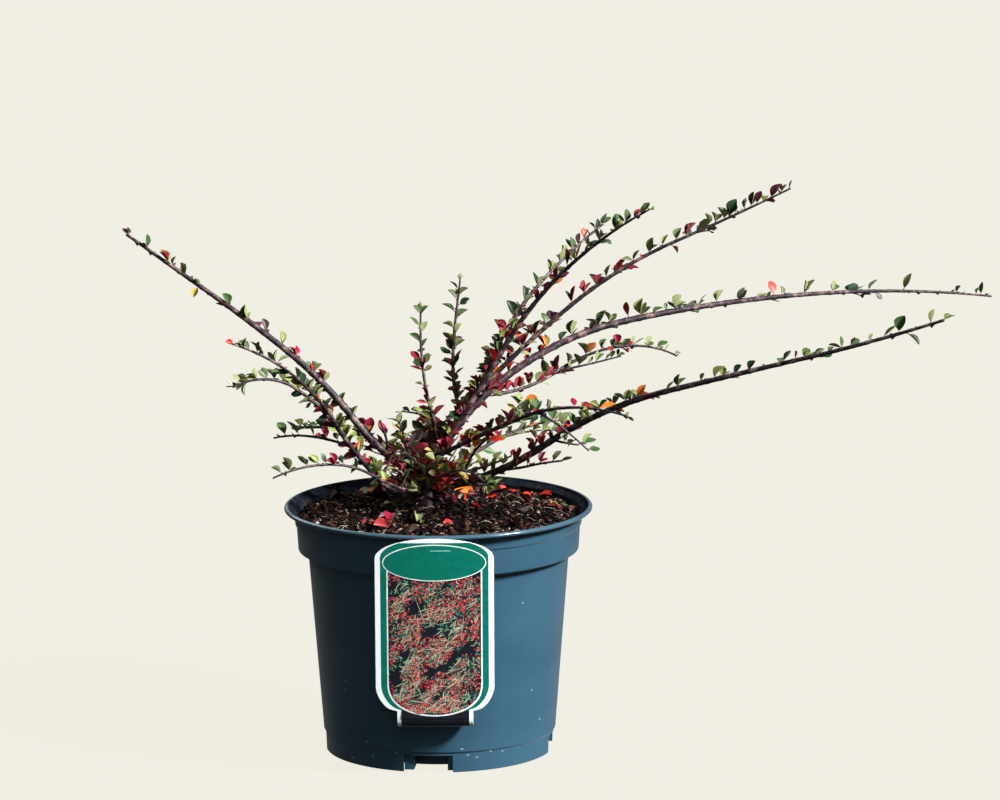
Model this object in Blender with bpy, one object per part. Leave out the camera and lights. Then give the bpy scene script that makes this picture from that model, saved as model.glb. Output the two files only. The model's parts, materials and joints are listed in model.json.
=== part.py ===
"""A wall cotoneaster in its two-litre nursery pot, as separate solids: the pot, its soil and
hanging label, a short trunk, bare boughs that arch out of it, and a leafy spray at each bough's
tip. Everything is in metres with +Z up. +X is the side that the longest shoots reach to, and the
origin is on the ground under the middle of the whole plant."""

import math
import random
from enum import Enum
from typing import NamedTuple

import bmesh
import bpy
import numpy as np

MM = 0.001
GAP = 0.3 * MM

# Where the pot stands: its axis, measured from the middle of the plant's footprint.
POT_X = -70 * MM
POT_Y = -8 * MM

# Pot sizes, all in millimetres. The rim is that of a 17 cm container.
RIM_R = 85.0
RIM_Z = 136.6
LIP_DEPTH = 2.2
LIP_TOP = 1.6
COLLAR_TOP_R = 79.6
COLLAR_STEP_R = 79.0
COLLAR_STEP_Z = 126.7
COLLAR_FOOT_R = 77.4
COLLAR_FOOT_Z = 112.6
WALL_TOP_R = 71.9
WALL_TOP_Z = 110.4
WALL_FOOT_R = 64.2
FOOT_R = 63.0
FOOT_BAND_Z = 11.0
FOOT_RING = 1.8
WALL = 1.3
FLOOR_Z = 8.6
FLOOR = 1.6
POT_SIDES = 40

# Small steps of the pot's profile: how far the foot band and collar are set, and the lip's edges.
BAND_PROUD = 0.4
STEP = 0.5
COLLAR_SET = 0.8
LIP_EDGE = 0.8
LIP_UNDER = 0.6

# Under the floor: a middle pad that nearly reaches the ground, and ribs from it to the wall.
PAD_R = 48.0
PAD_Z = 0.8
RIB = 1.3

# The four notches in the foot that let water out.
NOTCH_WIDE = 27.0
NOTCH_HIGH = 9.6
NOTCH_TURN = -95.4
NOTCHES = 4

# Soil, in millimetres: it fills the pot to a little below the lip and rises round the trunk.
SOIL_EDGE_Z = 131.0
SOIL_TOP_Z = 133.0
SOIL_TOP_R = 24.0

# Label, in millimetres: a stiff arched panel that hangs on the lip, with its tab folded up behind.
# Its radius is that of its middle from the pot's axis, and its bend is how little it is curved.
LABEL_X = -1.6
LABEL_HALF = 32.2
LABEL_TOP_Z = 135.4
LABEL_ARCH = 11.0
LABEL_SHOULDER = 83.5
LABEL_NECK = 97.0
LABEL_SHOULDER_CURVE = 1.6
LABEL_TALL = 106.5
LABEL_TAB_HALF = 20.6
LABEL_THICK = 0.8
LABEL_R = 85.8
LABEL_BEND_R = 300.0
LABEL_LEAN = 0.073
LABEL_FOLD_R = 5.2
LABEL_TURN_UP = 9.0
LABEL_TURN_IN = 4.0
LABEL_OFF_WALL = 0.8
LABEL_COLUMNS = 7

# Trunk, in millimetres: a short stump with a root flare, cut flat just over the soil.
TRUNK_X = -6.0
TRUNK_Y = 12.0
TRUNK_SIDES = 10

# How the wood is cut into faces, in millimetres. A limb has more faces round it if it is thick.
LIMB_STEP = 17.0
ROOM_STEP = 2.0
THICK_R = 1.6
THIN_R = 0.95

# Leaves, in millimetres and degrees. Each stands for one or two real ones.
LEAF_LONG = 11.0
LEAF_STEP = 11.0
TUFT_STEP = 25.0
TWIG_LEAF_STEP = 9.0
LEAF_WIDE = 0.56
LEAF_THICK = 0.075
LEAF_WIDEST = 0.56
LEAF_THICKEST = 0.34
LEAF_SINK = 0.9
LEAF_SPREAD = 56.0
LEAF_LIFT = 34.0
LEAF_VARIES = (0.85, 1.12)
TWIG_R = 0.8
TWIG_TIP_R = 0.6
TWIG_SAG = 0.12
SPUR_LONG = (2.6, 4.6)
SPUR_FAN = 0.75
SIDE_TWIG_LONG = (19.0, 27.0)
SIDE_TWIG_REACH = 0.8
SIDE_TWIG_BARE = 4.0
TUFTED_SHARE = 0.6
CLEAR_OF_LIMB = 0.6
CLEAR_OF_RIM_Z = 139.5
CLEAR_OF_SOIL_Z = 136.0
INSIDE_RIM_R = 70.0

# Colours of the solids.
POT_BLUE = (0.045, 0.085, 0.115, 1.0)
PEAT = (0.035, 0.022, 0.016, 1.0)
LABEL_GREEN = (0.0, 0.17, 0.12, 1.0)
BARK = (0.105, 0.062, 0.052, 1.0)
LEAF_GREEN = (0.085, 0.14, 0.035, 1.0)
LEAF_RED = (0.30, 0.03, 0.035, 1.0)


class Habit(Enum):
    """How a shoot carries its leaves."""

    TUFTED = "short spurs of three leaves, on older wood"
    RANKED = "single leaves, left and right by turns, on young wood"


class Shoot(NamedTuple):
    """One limb from where it springs to its tip; lengths and radii are in millimetres."""

    parent: str
    at: float
    length: float
    heading: tuple
    rises: tuple
    foot_r: float
    bare: float
    habit: Habit
    side_twigs: int = 0
    red: bool = False
    tip_r: float = 0.5


TUFTED, RANKED = Habit.TUFTED, Habit.RANKED

# Heading is in degrees round from +X at the foot and the tip, and rises are degrees above level
# at even steps from foot to tip. Bare is the share of the length that is bough.
SHOOTS = {
    "trunk": Shoot("", 0.0, 18, (60, 60), (86, 86), 4.2, 1.0, TUFTED),
    "left_long": Shoot("trunk", 0.68, 220, (176, 158), (30, 52, 37, 32, 31), 2.2, 0.20, TUFTED, tip_r=0.8),
    "left_low": Shoot("trunk", 0.30, 149, (218, 196), (-2, 47, 55, 35, -26), 1.7, 0.28, TUFTED, 2, True),
    "left_upper": Shoot("left_low", 0.50, 104, (250, 205), (43, 39, 21), 1.1, 0.12, RANKED),
    "left_twig": Shoot("left_low", 0.42, 46, (185, 150), (25, 5, -17), 0.8, 0.20, RANKED),
    "left_hanging": Shoot("trunk", 0.42, 126, (252, 196), (8, 30, -22), 1.0, 0.30, RANKED, 0, True),
    "left_sprig": Shoot("left_long", 0.12, 22, (230, 200), (81, 67), 0.8, 0.35, RANKED, 0, True),
    "right_long": Shoot("trunk", 1.00, 360, (22, 10), (62, 33, 9, 4, -1, -8), 2.2, 0.15, TUFTED, 5),
    "right_upper": Shoot("right_long", 0.07, 181, (-8, -35), (59, 59, 42, 28), 1.7, 0.22, TUFTED, 3),
    "right_top": Shoot("right_upper", 0.20, 131, (30, 62), (69, 33, 11), 1.2, 0.10, RANKED, 2),
    "right_high": Shoot("right_upper", 0.15, 210, (5, -8), (46, 40, 24, 27), 1.4, 0.12, TUFTED, 3),
    "right_middle": Shoot("right_long", 0.15, 153, (35, 52), (-5, 21, -3, -24), 1.0, 0.12, RANKED, 2, True),
    "right_low": Shoot("trunk", 0.50, 328, (-32, -18), (12, 35, 17, 16, 20), 2.0, 0.18, TUFTED, 4,
                       tip_r=0.8),
    "right_inner": Shoot("right_long", 0.03, 154, (-50, -40), (26, 23, -8), 1.4, 0.22, TUFTED, 3, True),
    "right_thin": Shoot("right_low", 0.15, 44, (-45, -30), (9, 17, 10), 0.8, 0.25, RANKED, 0, True),
    "right_short": Shoot("trunk", 0.90, 50, (-10, -20), (5, 28), 1.0, 0.25, RANKED),
    "front_arch": Shoot("trunk", 0.95, 69, (-75, -45), (4, 23, -29), 0.8, 0.45, RANKED),
    "front_right": Shoot("right_short", 0.42, 43, (-75, -60), (46, 26), 0.8, 0.30, RANKED, 0, True),
    "front_left": Shoot("left_long", 0.05, 34, (255, 235), (69, 62), 0.9, 0.35, RANKED),
    "front_low": Shoot("trunk", 0.70, 48, (-110, -125), (50, 34, 12), 0.9, 0.25, RANKED, 0, True),
    "back_right": Shoot("right_long", 0.10, 82, (125, 40), (49, 71, 81), 1.1, 0.12, RANKED, 1),
    "back_left": Shoot("right_long", 0.05, 79, (150, 80), (60, 71, 76), 1.0, 0.20, RANKED, 1),
    "back_low": Shoot("trunk", 0.60, 112, (85, 100), (30, 14, -14), 1.2, 0.20, RANKED, 3),
    "back_low_left": Shoot("trunk", 0.60, 108, (128, 142), (30, 12, -12), 1.2, 0.20, RANKED, 3, True),
    "back_low_right": Shoot("trunk", 0.60, 112, (40, 48), (27, 14, -8), 1.2, 0.20, RANKED, 3, True),
}
TRUNK_FLARE = ((0.0, 7.2), (1.4, 6.0), (4.0, 5.2), (8.0, 4.6), (13.0, 4.2), (17.0, 3.7), (18.6, 2.2))


class Line:
    """A limb's centre line: its points, radii and the two cross directions at each point."""

    def __init__(self, points, radii):
        self.points = np.array(points)
        self.radii = np.array(radii)
        lengths = np.linalg.norm(np.diff(self.points, axis=0), axis=1)
        self.along = np.concatenate([[0.0], np.cumsum(lengths)])
        tangents = np.gradient(self.points, axis=0)
        self.tangents = tangents / np.linalg.norm(tangents, axis=1)[:, None]
        across_y = abs(self.tangents[0][1]) < 0.8
        first = np.cross(self.tangents[0], (0.0, 1.0, 0.0) if across_y else (1.0, 0.0, 0.0))
        sides = [first / np.linalg.norm(first)]
        for tangent in self.tangents[1:]:
            side = sides[-1] - tangent * np.dot(sides[-1], tangent)
            sides.append(side / np.linalg.norm(side))
        self.sides = np.array(sides)
        self.crosses = np.cross(self.tangents, self.sides)

    def at(self, distance):
        """The point, radius, tangent and cross directions at a distance along the line."""
        def read(values):
            return np.array([np.interp(distance, self.along, column) for column in values.T])
        return (read(self.points), float(np.interp(distance, self.along, self.radii)),
                read(self.tangents), read(self.sides), read(self.crosses))

    def stations(self, start, end, step):
        """Distances from start to end in even steps no longer than step."""
        count = max(1, math.ceil((end - start) / step))
        return [start + (end - start) * k / count for k in range(count + 1)]


def clear_scene():
    """Empty the scene of its starting objects."""
    for thing in list(bpy.data.objects):
        bpy.data.objects.remove(thing, do_unlink=True)


def material(name, colour, roughness):
    """A Principled material of one colour."""
    made = bpy.data.materials.new(name)
    made.use_nodes = True
    shader = made.node_tree.nodes["Principled BSDF"]
    shader.inputs["Base Color"].default_value = colour
    shader.inputs["Roughness"].default_value = roughness
    return made


def add_object(name, mesh, finish, collection=None):
    """Put a mesh in the scene as a named object."""
    made = bpy.data.objects.new(name, mesh)
    mesh.materials.append(finish)
    (collection or bpy.context.scene.collection).objects.link(made)
    return made


def mesh_of(name, points, faces):
    """A mesh from points and faces, with its faces turned outward."""
    mesh = bpy.data.meshes.new(name)
    mesh.from_pydata([tuple(p) for p in points], [], faces)
    shell = bmesh.new()
    shell.from_mesh(mesh)
    bmesh.ops.recalc_face_normals(shell, faces=shell.faces)
    shell.to_mesh(mesh)
    shell.free()
    return mesh


def apply_boolean(thing, operation, other=None, collection=None, solver="EXACT"):
    """Join or cut an object by another object or by a collection, and keep the result."""
    modifier = thing.modifiers.new("join", "BOOLEAN")
    modifier.operation = operation
    modifier.solver = solver
    if collection is None:
        modifier.object = other
    else:
        modifier.operand_type = "COLLECTION"
        modifier.collection = collection
    graph = bpy.context.evaluated_depsgraph_get()
    result = bpy.data.meshes.new_from_object(thing.evaluated_get(graph))
    thing.modifiers.clear()
    thing.data = result


def keep_largest_shell(thing):
    """Drop loose scraps and sealed hollows: only the largest connected shell stays."""
    shell = bmesh.new()
    shell.from_mesh(thing.data)
    shell.verts.ensure_lookup_table()
    waiting = set(shell.verts)
    groups = []
    while waiting:
        stack = [waiting.pop()]
        group = set(stack)
        while stack:
            vert = stack.pop()
            near = {edge.other_vert(vert) for edge in vert.link_edges} & waiting
            waiting -= near
            group |= near
            stack.extend(near)
        groups.append(group)
    groups.sort(key=len, reverse=True)
    scraps = [vert for group in groups[1:] for vert in group]
    bmesh.ops.delete(shell, geom=scraps, context="VERTS")
    shell.to_mesh(thing.data)
    shell.free()


def closed(thing):
    """Whether every edge of the object's mesh lies between two faces."""
    shell = bmesh.new()
    shell.from_mesh(thing.data)
    answer = all(edge.is_manifold for edge in shell.edges) and len(shell.faces) > 3
    shell.free()
    return answer


def reach(thing):
    """The length of the object's longest box side."""
    corners = np.array([tuple(vert.co) for vert in thing.data.vertices])
    return float((corners.max(axis=0) - corners.min(axis=0)).max()) if len(corners) else 0.0


def turned_points(profile, sides, centre):
    """Rings of points for a profile of radius and height, in millimetres, round an upright axis."""
    points = []
    for radius, height in profile:
        for k in range(sides):
            angle = 2 * math.pi * k / sides
            points.append((centre[0] + radius * MM * math.cos(angle),
                           centre[1] + radius * MM * math.sin(angle), height * MM))
    return points


def turned(name, profile, sides, finish, centre):
    """A solid turned round an upright axis, from a profile that starts and ends on flat discs."""
    points = turned_points(profile, sides, centre)
    faces = []
    for ring in range(len(profile) - 1):
        for k in range(sides):
            a = ring * sides + k
            b = ring * sides + (k + 1) % sides
            faces.append((a, b, b + sides, a + sides))
    last = (len(profile) - 1) * sides
    faces.append(tuple(range(sides)))
    faces.append(tuple(range(last, last + sides)))
    return add_object(name, mesh_of(name, points, faces), finish)


def pot_outside():
    """The pot's outer profile from its foot up to its rim."""
    lip_z = RIM_Z - LIP_DEPTH
    return [(FOOT_R, 0.0), (FOOT_R + BAND_PROUD, FOOT_BAND_Z), (WALL_FOOT_R, FOOT_BAND_Z + STEP),
            (WALL_TOP_R, WALL_TOP_Z), (COLLAR_FOOT_R, COLLAR_FOOT_Z),
            (COLLAR_STEP_R - COLLAR_SET, COLLAR_STEP_Z - STEP), (COLLAR_STEP_R, COLLAR_STEP_Z),
            (COLLAR_TOP_R, lip_z), (RIM_R - LIP_UNDER, lip_z - STEP / 2), (RIM_R, lip_z + STEP),
            (RIM_R, RIM_Z - LIP_EDGE), (RIM_R - LIP_EDGE, RIM_Z)]


def pot_inside(clear=0.0):
    """The pot's inner profile from its rim down to the pad in its floor, drawn in by a clearance."""
    floor_top = FLOOR_Z + FLOOR + clear
    collar_foot = COLLAR_FOOT_R - WALL + STEP / 2 - clear
    return [(COLLAR_TOP_R - WALL - clear, RIM_Z - LIP_DEPTH - LIP_EDGE),
            (COLLAR_STEP_R - COLLAR_SET - WALL - clear, COLLAR_STEP_Z),
            (collar_foot, COLLAR_FOOT_Z + STEP + clear),
            (WALL_TOP_R - WALL - clear, WALL_TOP_Z + STEP + clear),
            (WALL_FOOT_R - WALL - clear, floor_top), (PAD_R - WALL - clear, floor_top),
            (PAD_R - WALL - clear, PAD_Z + FLOOR + clear)]


def pot_block(centre, angle, radius, size, top, finish):
    """A block on the pot's foot, facing out at an angle, that reaches up to a height."""
    bpy.ops.mesh.primitive_cube_add(size=1.0)
    block = bpy.context.object
    block.scale = tuple(side * MM for side in size)
    block.rotation_euler = (0.0, 0.0, angle)
    block.location = (centre[0] + radius * MM * math.cos(angle), centre[1] + radius * MM * math.sin(angle),
                      (top - size[2] / 2) * MM)
    block.data.materials.append(finish)
    bpy.context.view_layer.update()
    return block


def build_pot(finish, centre):
    """The pot: thin walls with a stepped collar and a flat lip, and a ribbed, notched foot."""
    rim_r = RIM_R - LIP_EDGE - LIP_TOP
    lip = [(rim_r, RIM_Z), (rim_r - STEP, RIM_Z - 2 * STEP)]
    under = [(PAD_R - STEP, PAD_Z), (PAD_R, FLOOR_Z), (WALL_FOOT_R - 2 * WALL, FLOOR_Z),
             (FOOT_R - FOOT_RING, 0.0)]
    pot = turned("pot", under + pot_outside() + lip + pot_inside(), POT_SIDES, finish, centre)
    rib_long = FOOT_R - PAD_R
    rib_size = (rib_long, RIB, FLOOR_Z + FLOOR / 2 - PAD_Z)
    notch_size = (4 * STEP + FOOT_RING + rib_long / 2, NOTCH_WIDE, 2 * NOTCH_HIGH)
    for k in range(NOTCHES):
        middle = math.radians(NOTCH_TURN + 360 / NOTCHES * k)
        for side in (-1, 1):
            angle = middle + side * math.asin((NOTCH_WIDE + RIB) / 2 / FOOT_R)
            rib_r = PAD_R - STEP + rib_long / 2
            rib = pot_block(centre, angle, rib_r, rib_size, FLOOR_Z + FLOOR / 2, finish)
            apply_boolean(pot, "UNION", rib)
            bpy.data.objects.remove(rib, do_unlink=True)
        cutter = pot_block(centre, middle, FOOT_R, notch_size, NOTCH_HIGH, finish)
        apply_boolean(pot, "DIFFERENCE", cutter)
        bpy.data.objects.remove(cutter, do_unlink=True)
    return pot


def build_soil(finish, centre):
    """The soil, clear of the pot's inside, with a low mound under the trunk."""
    clear = GAP / MM
    wall = [point for point in reversed(pot_inside(clear)) if point[1] < SOIL_EDGE_Z]
    edge_r = COLLAR_STEP_R - COLLAR_SET - WALL - clear
    rise = SOIL_TOP_Z - SOIL_EDGE_Z
    mound = [(SOIL_TOP_R + (edge_r - SOIL_TOP_R) * share, SOIL_TOP_Z - rise * share ** 2)
             for share in (1.0, 0.83, 0.42, 0.0)]
    return turned("soil", wall + mound, POT_SIDES, finish, centre)


def label_path():
    """Radius, height and half width along the label, from the arch's top to the turned-up end."""
    def lean_r(depth):
        return LABEL_R - LABEL_LEAN * depth

    rows = []
    for share in (0.012, 0.08, 0.22, 0.45, 0.72, 1.0):
        depth = LABEL_ARCH * share
        rows.append((lean_r(depth), LABEL_TOP_Z - depth, LABEL_HALF * math.sqrt(1 - (1 - share) ** 2)))
    rows.append((lean_r(LABEL_SHOULDER), LABEL_TOP_Z - LABEL_SHOULDER, LABEL_HALF))
    for share in (0.35, 0.7, 1.0):
        depth = LABEL_SHOULDER + (LABEL_NECK - LABEL_SHOULDER) * share
        half = LABEL_TAB_HALF + (LABEL_HALF - LABEL_TAB_HALF) * math.sqrt(1 - share ** LABEL_SHOULDER_CURVE)
        rows.append((lean_r(depth), LABEL_TOP_Z - depth, half))
    bend_z = LABEL_TOP_Z - LABEL_TALL + LABEL_FOLD_R
    bend_r = lean_r(LABEL_TALL) - LABEL_FOLD_R
    for turn in (0, 45, 90, 135, 180):
        angle = math.radians(turn)
        rows.append((bend_r + LABEL_FOLD_R * math.cos(angle), bend_z - LABEL_FOLD_R * math.sin(angle),
                     LABEL_TAB_HALF))
    end_r = bend_r - LABEL_FOLD_R + LABEL_OFF_WALL
    rows.append((end_r, bend_z + LABEL_TURN_UP, LABEL_TAB_HALF - LABEL_TURN_IN))
    return rows


def label_spot(centre, across, radius, height):
    """A point of the label, by how far it is across, out from the pot's axis, and up."""
    angle = across / LABEL_BEND_R
    out = radius - LABEL_BEND_R * (1 - math.cos(angle))
    side = LABEL_X + LABEL_BEND_R * math.sin(angle)
    return (centre[0] + side * MM, centre[1] - out * MM, height * MM)


def build_label(finish, centre):
    """The label: a thin, nearly flat plate in front of the pot, folded up behind below."""
    rows = label_path()
    flat = np.array([(radius, height) for radius, height, half in rows])
    way = np.gradient(flat, axis=0)
    way /= np.linalg.norm(way, axis=1)[:, None]
    out = np.stack([-way[:, 1], way[:, 0]], axis=1)
    points = []
    for face in (0.5, -0.5):
        for place, push, (_, _, half) in zip(flat, out, rows):
            radius, height = place + push * face * LABEL_THICK
            for k in range(LABEL_COLUMNS):
                across = half * (2 * k / (LABEL_COLUMNS - 1) - 1)
                points.append(label_spot(centre, across, radius, height))
    faces = []
    layer = len(rows) * LABEL_COLUMNS
    for row in range(len(rows) - 1):
        for k in range(LABEL_COLUMNS - 1):
            a = row * LABEL_COLUMNS + k
            b = layer + a
            faces.append((a, a + 1, a + 1 + LABEL_COLUMNS, a + LABEL_COLUMNS))
            faces.append((b, b + LABEL_COLUMNS, b + 1 + LABEL_COLUMNS, b + 1))
        for a in (row * LABEL_COLUMNS, row * LABEL_COLUMNS + LABEL_COLUMNS - 1):
            faces.append((a, a + LABEL_COLUMNS, layer + a + LABEL_COLUMNS, layer + a))
    for row in (0, len(rows) - 1):
        for k in range(LABEL_COLUMNS - 1):
            a = row * LABEL_COLUMNS + k
            faces.append((a, a + 1, layer + a + 1, layer + a))
    return add_object("label", mesh_of("label", points, faces), finish)


def grow_line(start, shoot):
    """Follow a shoot's heading and rise from its foot to its tip in small even steps."""
    count = max(8, round(shoot.length / ROOM_STEP))
    step = shoot.length * MM / count
    points = [np.array(start)]
    for k in range(count):
        share = (k + 0.5) / count
        heading = math.radians(shoot.heading[0] + (shoot.heading[1] - shoot.heading[0]) * share)
        rise = math.radians(float(np.interp(share, np.linspace(0, 1, len(shoot.rises)), shoot.rises)))
        level = np.array((math.cos(heading), math.sin(heading), 0.0))
        way = level * math.cos(rise) + np.array((0.0, 0.0, math.sin(rise)))
        points.append(points[-1] + way * step)
    shares = np.linspace(0, 1, count + 1)
    radii = (shoot.foot_r + (shoot.tip_r - shoot.foot_r) * shares) * MM
    return Line(points, radii)


def grow_all(centre):
    """The centre line of the trunk and of every shoot, each from its place on its parent."""
    lines = {}
    for name, shoot in SHOOTS.items():
        if not shoot.parent:
            start = (centre[0] + TRUNK_X * MM, centre[1] + TRUNK_Y * MM, SOIL_TOP_Z * MM + GAP)
        else:
            parent = lines[shoot.parent]
            start = parent.at(parent.along[-1] * shoot.at)[0]
        lines[name] = grow_line(start, shoot)
    return lines


def sides_for(radius):
    """How many faces a limb of this foot radius has round it."""
    return 6 if radius > THICK_R * MM else 4 if radius > THIN_R * MM else 3


def tube_mesh(name, line, distances, sides, swell=0.0, radii=None):
    """A tapering tube along a line, with a ring at each distance, widened by swell."""
    points = []
    for k, distance in enumerate(distances):
        centre, radius, _, side, cross = line.at(distance)
        reach = (radius if radii is None else radii[k]) + swell
        for turn in range(sides):
            angle = 2 * math.pi * turn / sides
            points.append(centre + reach * (math.cos(angle) * side + math.sin(angle) * cross))
    faces = []
    for ring in range(len(distances) - 1):
        for k in range(sides):
            a = ring * sides + k
            b = ring * sides + (k + 1) % sides
            faces.append((a, b, b + sides, a + sides))
    last = (len(distances) - 1) * sides
    faces.append(tuple(range(sides)))
    faces.append(tuple(range(last, last + sides)))
    return mesh_of(name, points, faces)


def trunk_tube(name, line, swell=0.0):
    """The trunk's flared stump as a mesh, widened and lengthened by swell."""
    heights = [height * MM for height, _ in TRUNK_FLARE]
    heights[-1] += swell
    radii = [radius * MM + swell for _, radius in TRUNK_FLARE]
    top = line.points[-1] + line.tangents[-1] * (heights[-1] - line.along[-1])
    axis = [line.points[0] * (1 - s) + top * s for s in np.linspace(0, 1, 9)]
    return tube_mesh(name, Line(axis, np.full(9, MM)), heights, TRUNK_SIDES, radii=radii)


def build_trunk(line, finish):
    """The trunk: a flat cut on the soil, a root flare, and a rounded top that the limbs leave."""
    mesh = trunk_tube("trunk", line)
    for vert in mesh.vertices[:TRUNK_SIDES]:
        vert.co.z = line.points[0][2]
    return add_object("trunk", mesh, finish)


def limb_tube(name, line, start, end, swell=0.0):
    """A limb's mesh between two distances along its line, widened by swell."""
    stations = line.stations(start, end, LIMB_STEP * MM)
    return tube_mesh(name, line, stations, sides_for(line.radii[0]), swell)


def build_bough(name, shoot, lines, finish):
    """One bare tapering bough, from its parent's surface to where its leaves begin."""
    line = lines[name]
    bough = add_object("bough_" + name, limb_tube(name, line, 0.0, line.along[-1] * shoot.bare), finish)
    parent = lines[shoot.parent]
    if shoot.parent == "trunk":
        cutter = add_object("cutter", trunk_tube("cutter", parent, GAP), finish)
    else:
        cutter = add_object("cutter", limb_tube("cutter", parent, 0.0, parent.along[-1], GAP), finish)
    bpy.context.view_layer.update()
    apply_boolean(bough, "DIFFERENCE", cutter)
    bpy.data.objects.remove(cutter, do_unlink=True)
    keep_largest_shell(bough)
    return bough


class Room:
    """Tells whether points stay in a shoot's own space: nearer to it than to any other limb."""

    def __init__(self, lines, centre):
        self.centre = np.array(centre)
        self.lines = lines

    def holds(self, name, points):
        """Whether all the points are clear of the pot, the soil and every other limb's space."""
        points = np.array(points)
        radial = np.linalg.norm(points[:, :2] - self.centre, axis=1)
        floor = np.where(radial > INSIDE_RIM_R * MM, CLEAR_OF_RIM_Z, CLEAR_OF_SOIL_Z) * MM
        if (points[:, 2] < floor).any():
            return False
        own = self.distance(name, points)[0]
        for other in self.lines:
            if other == name:
                continue
            axis, surface = self.distance(other, points)
            if (surface < CLEAR_OF_LIMB * MM).any() or (axis < own + CLEAR_OF_LIMB * MM).any():
                return False
        return True

    def distance(self, name, points):
        """Each point's distance to a limb's centre line, and to its surface."""
        line = self.lines[name]
        gaps = np.linalg.norm(points[:, None, :] - line.points[None, :, :], axis=2)
        nearest = gaps.argmin(axis=1)
        axis = gaps.min(axis=1)
        radius = line.radii[nearest]
        if name == "trunk":
            radius = np.full(len(points), TRUNK_FLARE[0][1] * MM)
        return axis, axis - radius


def unit(vector):
    """The vector at length one."""
    return vector / np.linalg.norm(vector)


def leaf_points(root, way, face, length):
    """A leaf's six corners: root, tip, both edges at its widest, and its two faces' middles."""
    across = unit(np.cross(face, way))
    up = unit(np.cross(way, across))
    widest = root + way * length * LEAF_WIDEST
    thickest = root + way * length * LEAF_THICKEST
    half = across * length * LEAF_WIDE / 2
    thick = up * length * LEAF_THICK / 2
    return [root, root + way * length, widest + half, widest - half, thickest + thick, thickest - thick]


LEAF_FACES = [(0, 2, 4), (0, 4, 3), (0, 3, 5), (0, 5, 2), (1, 4, 2), (1, 3, 4), (1, 5, 3), (1, 2, 5)]


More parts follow.
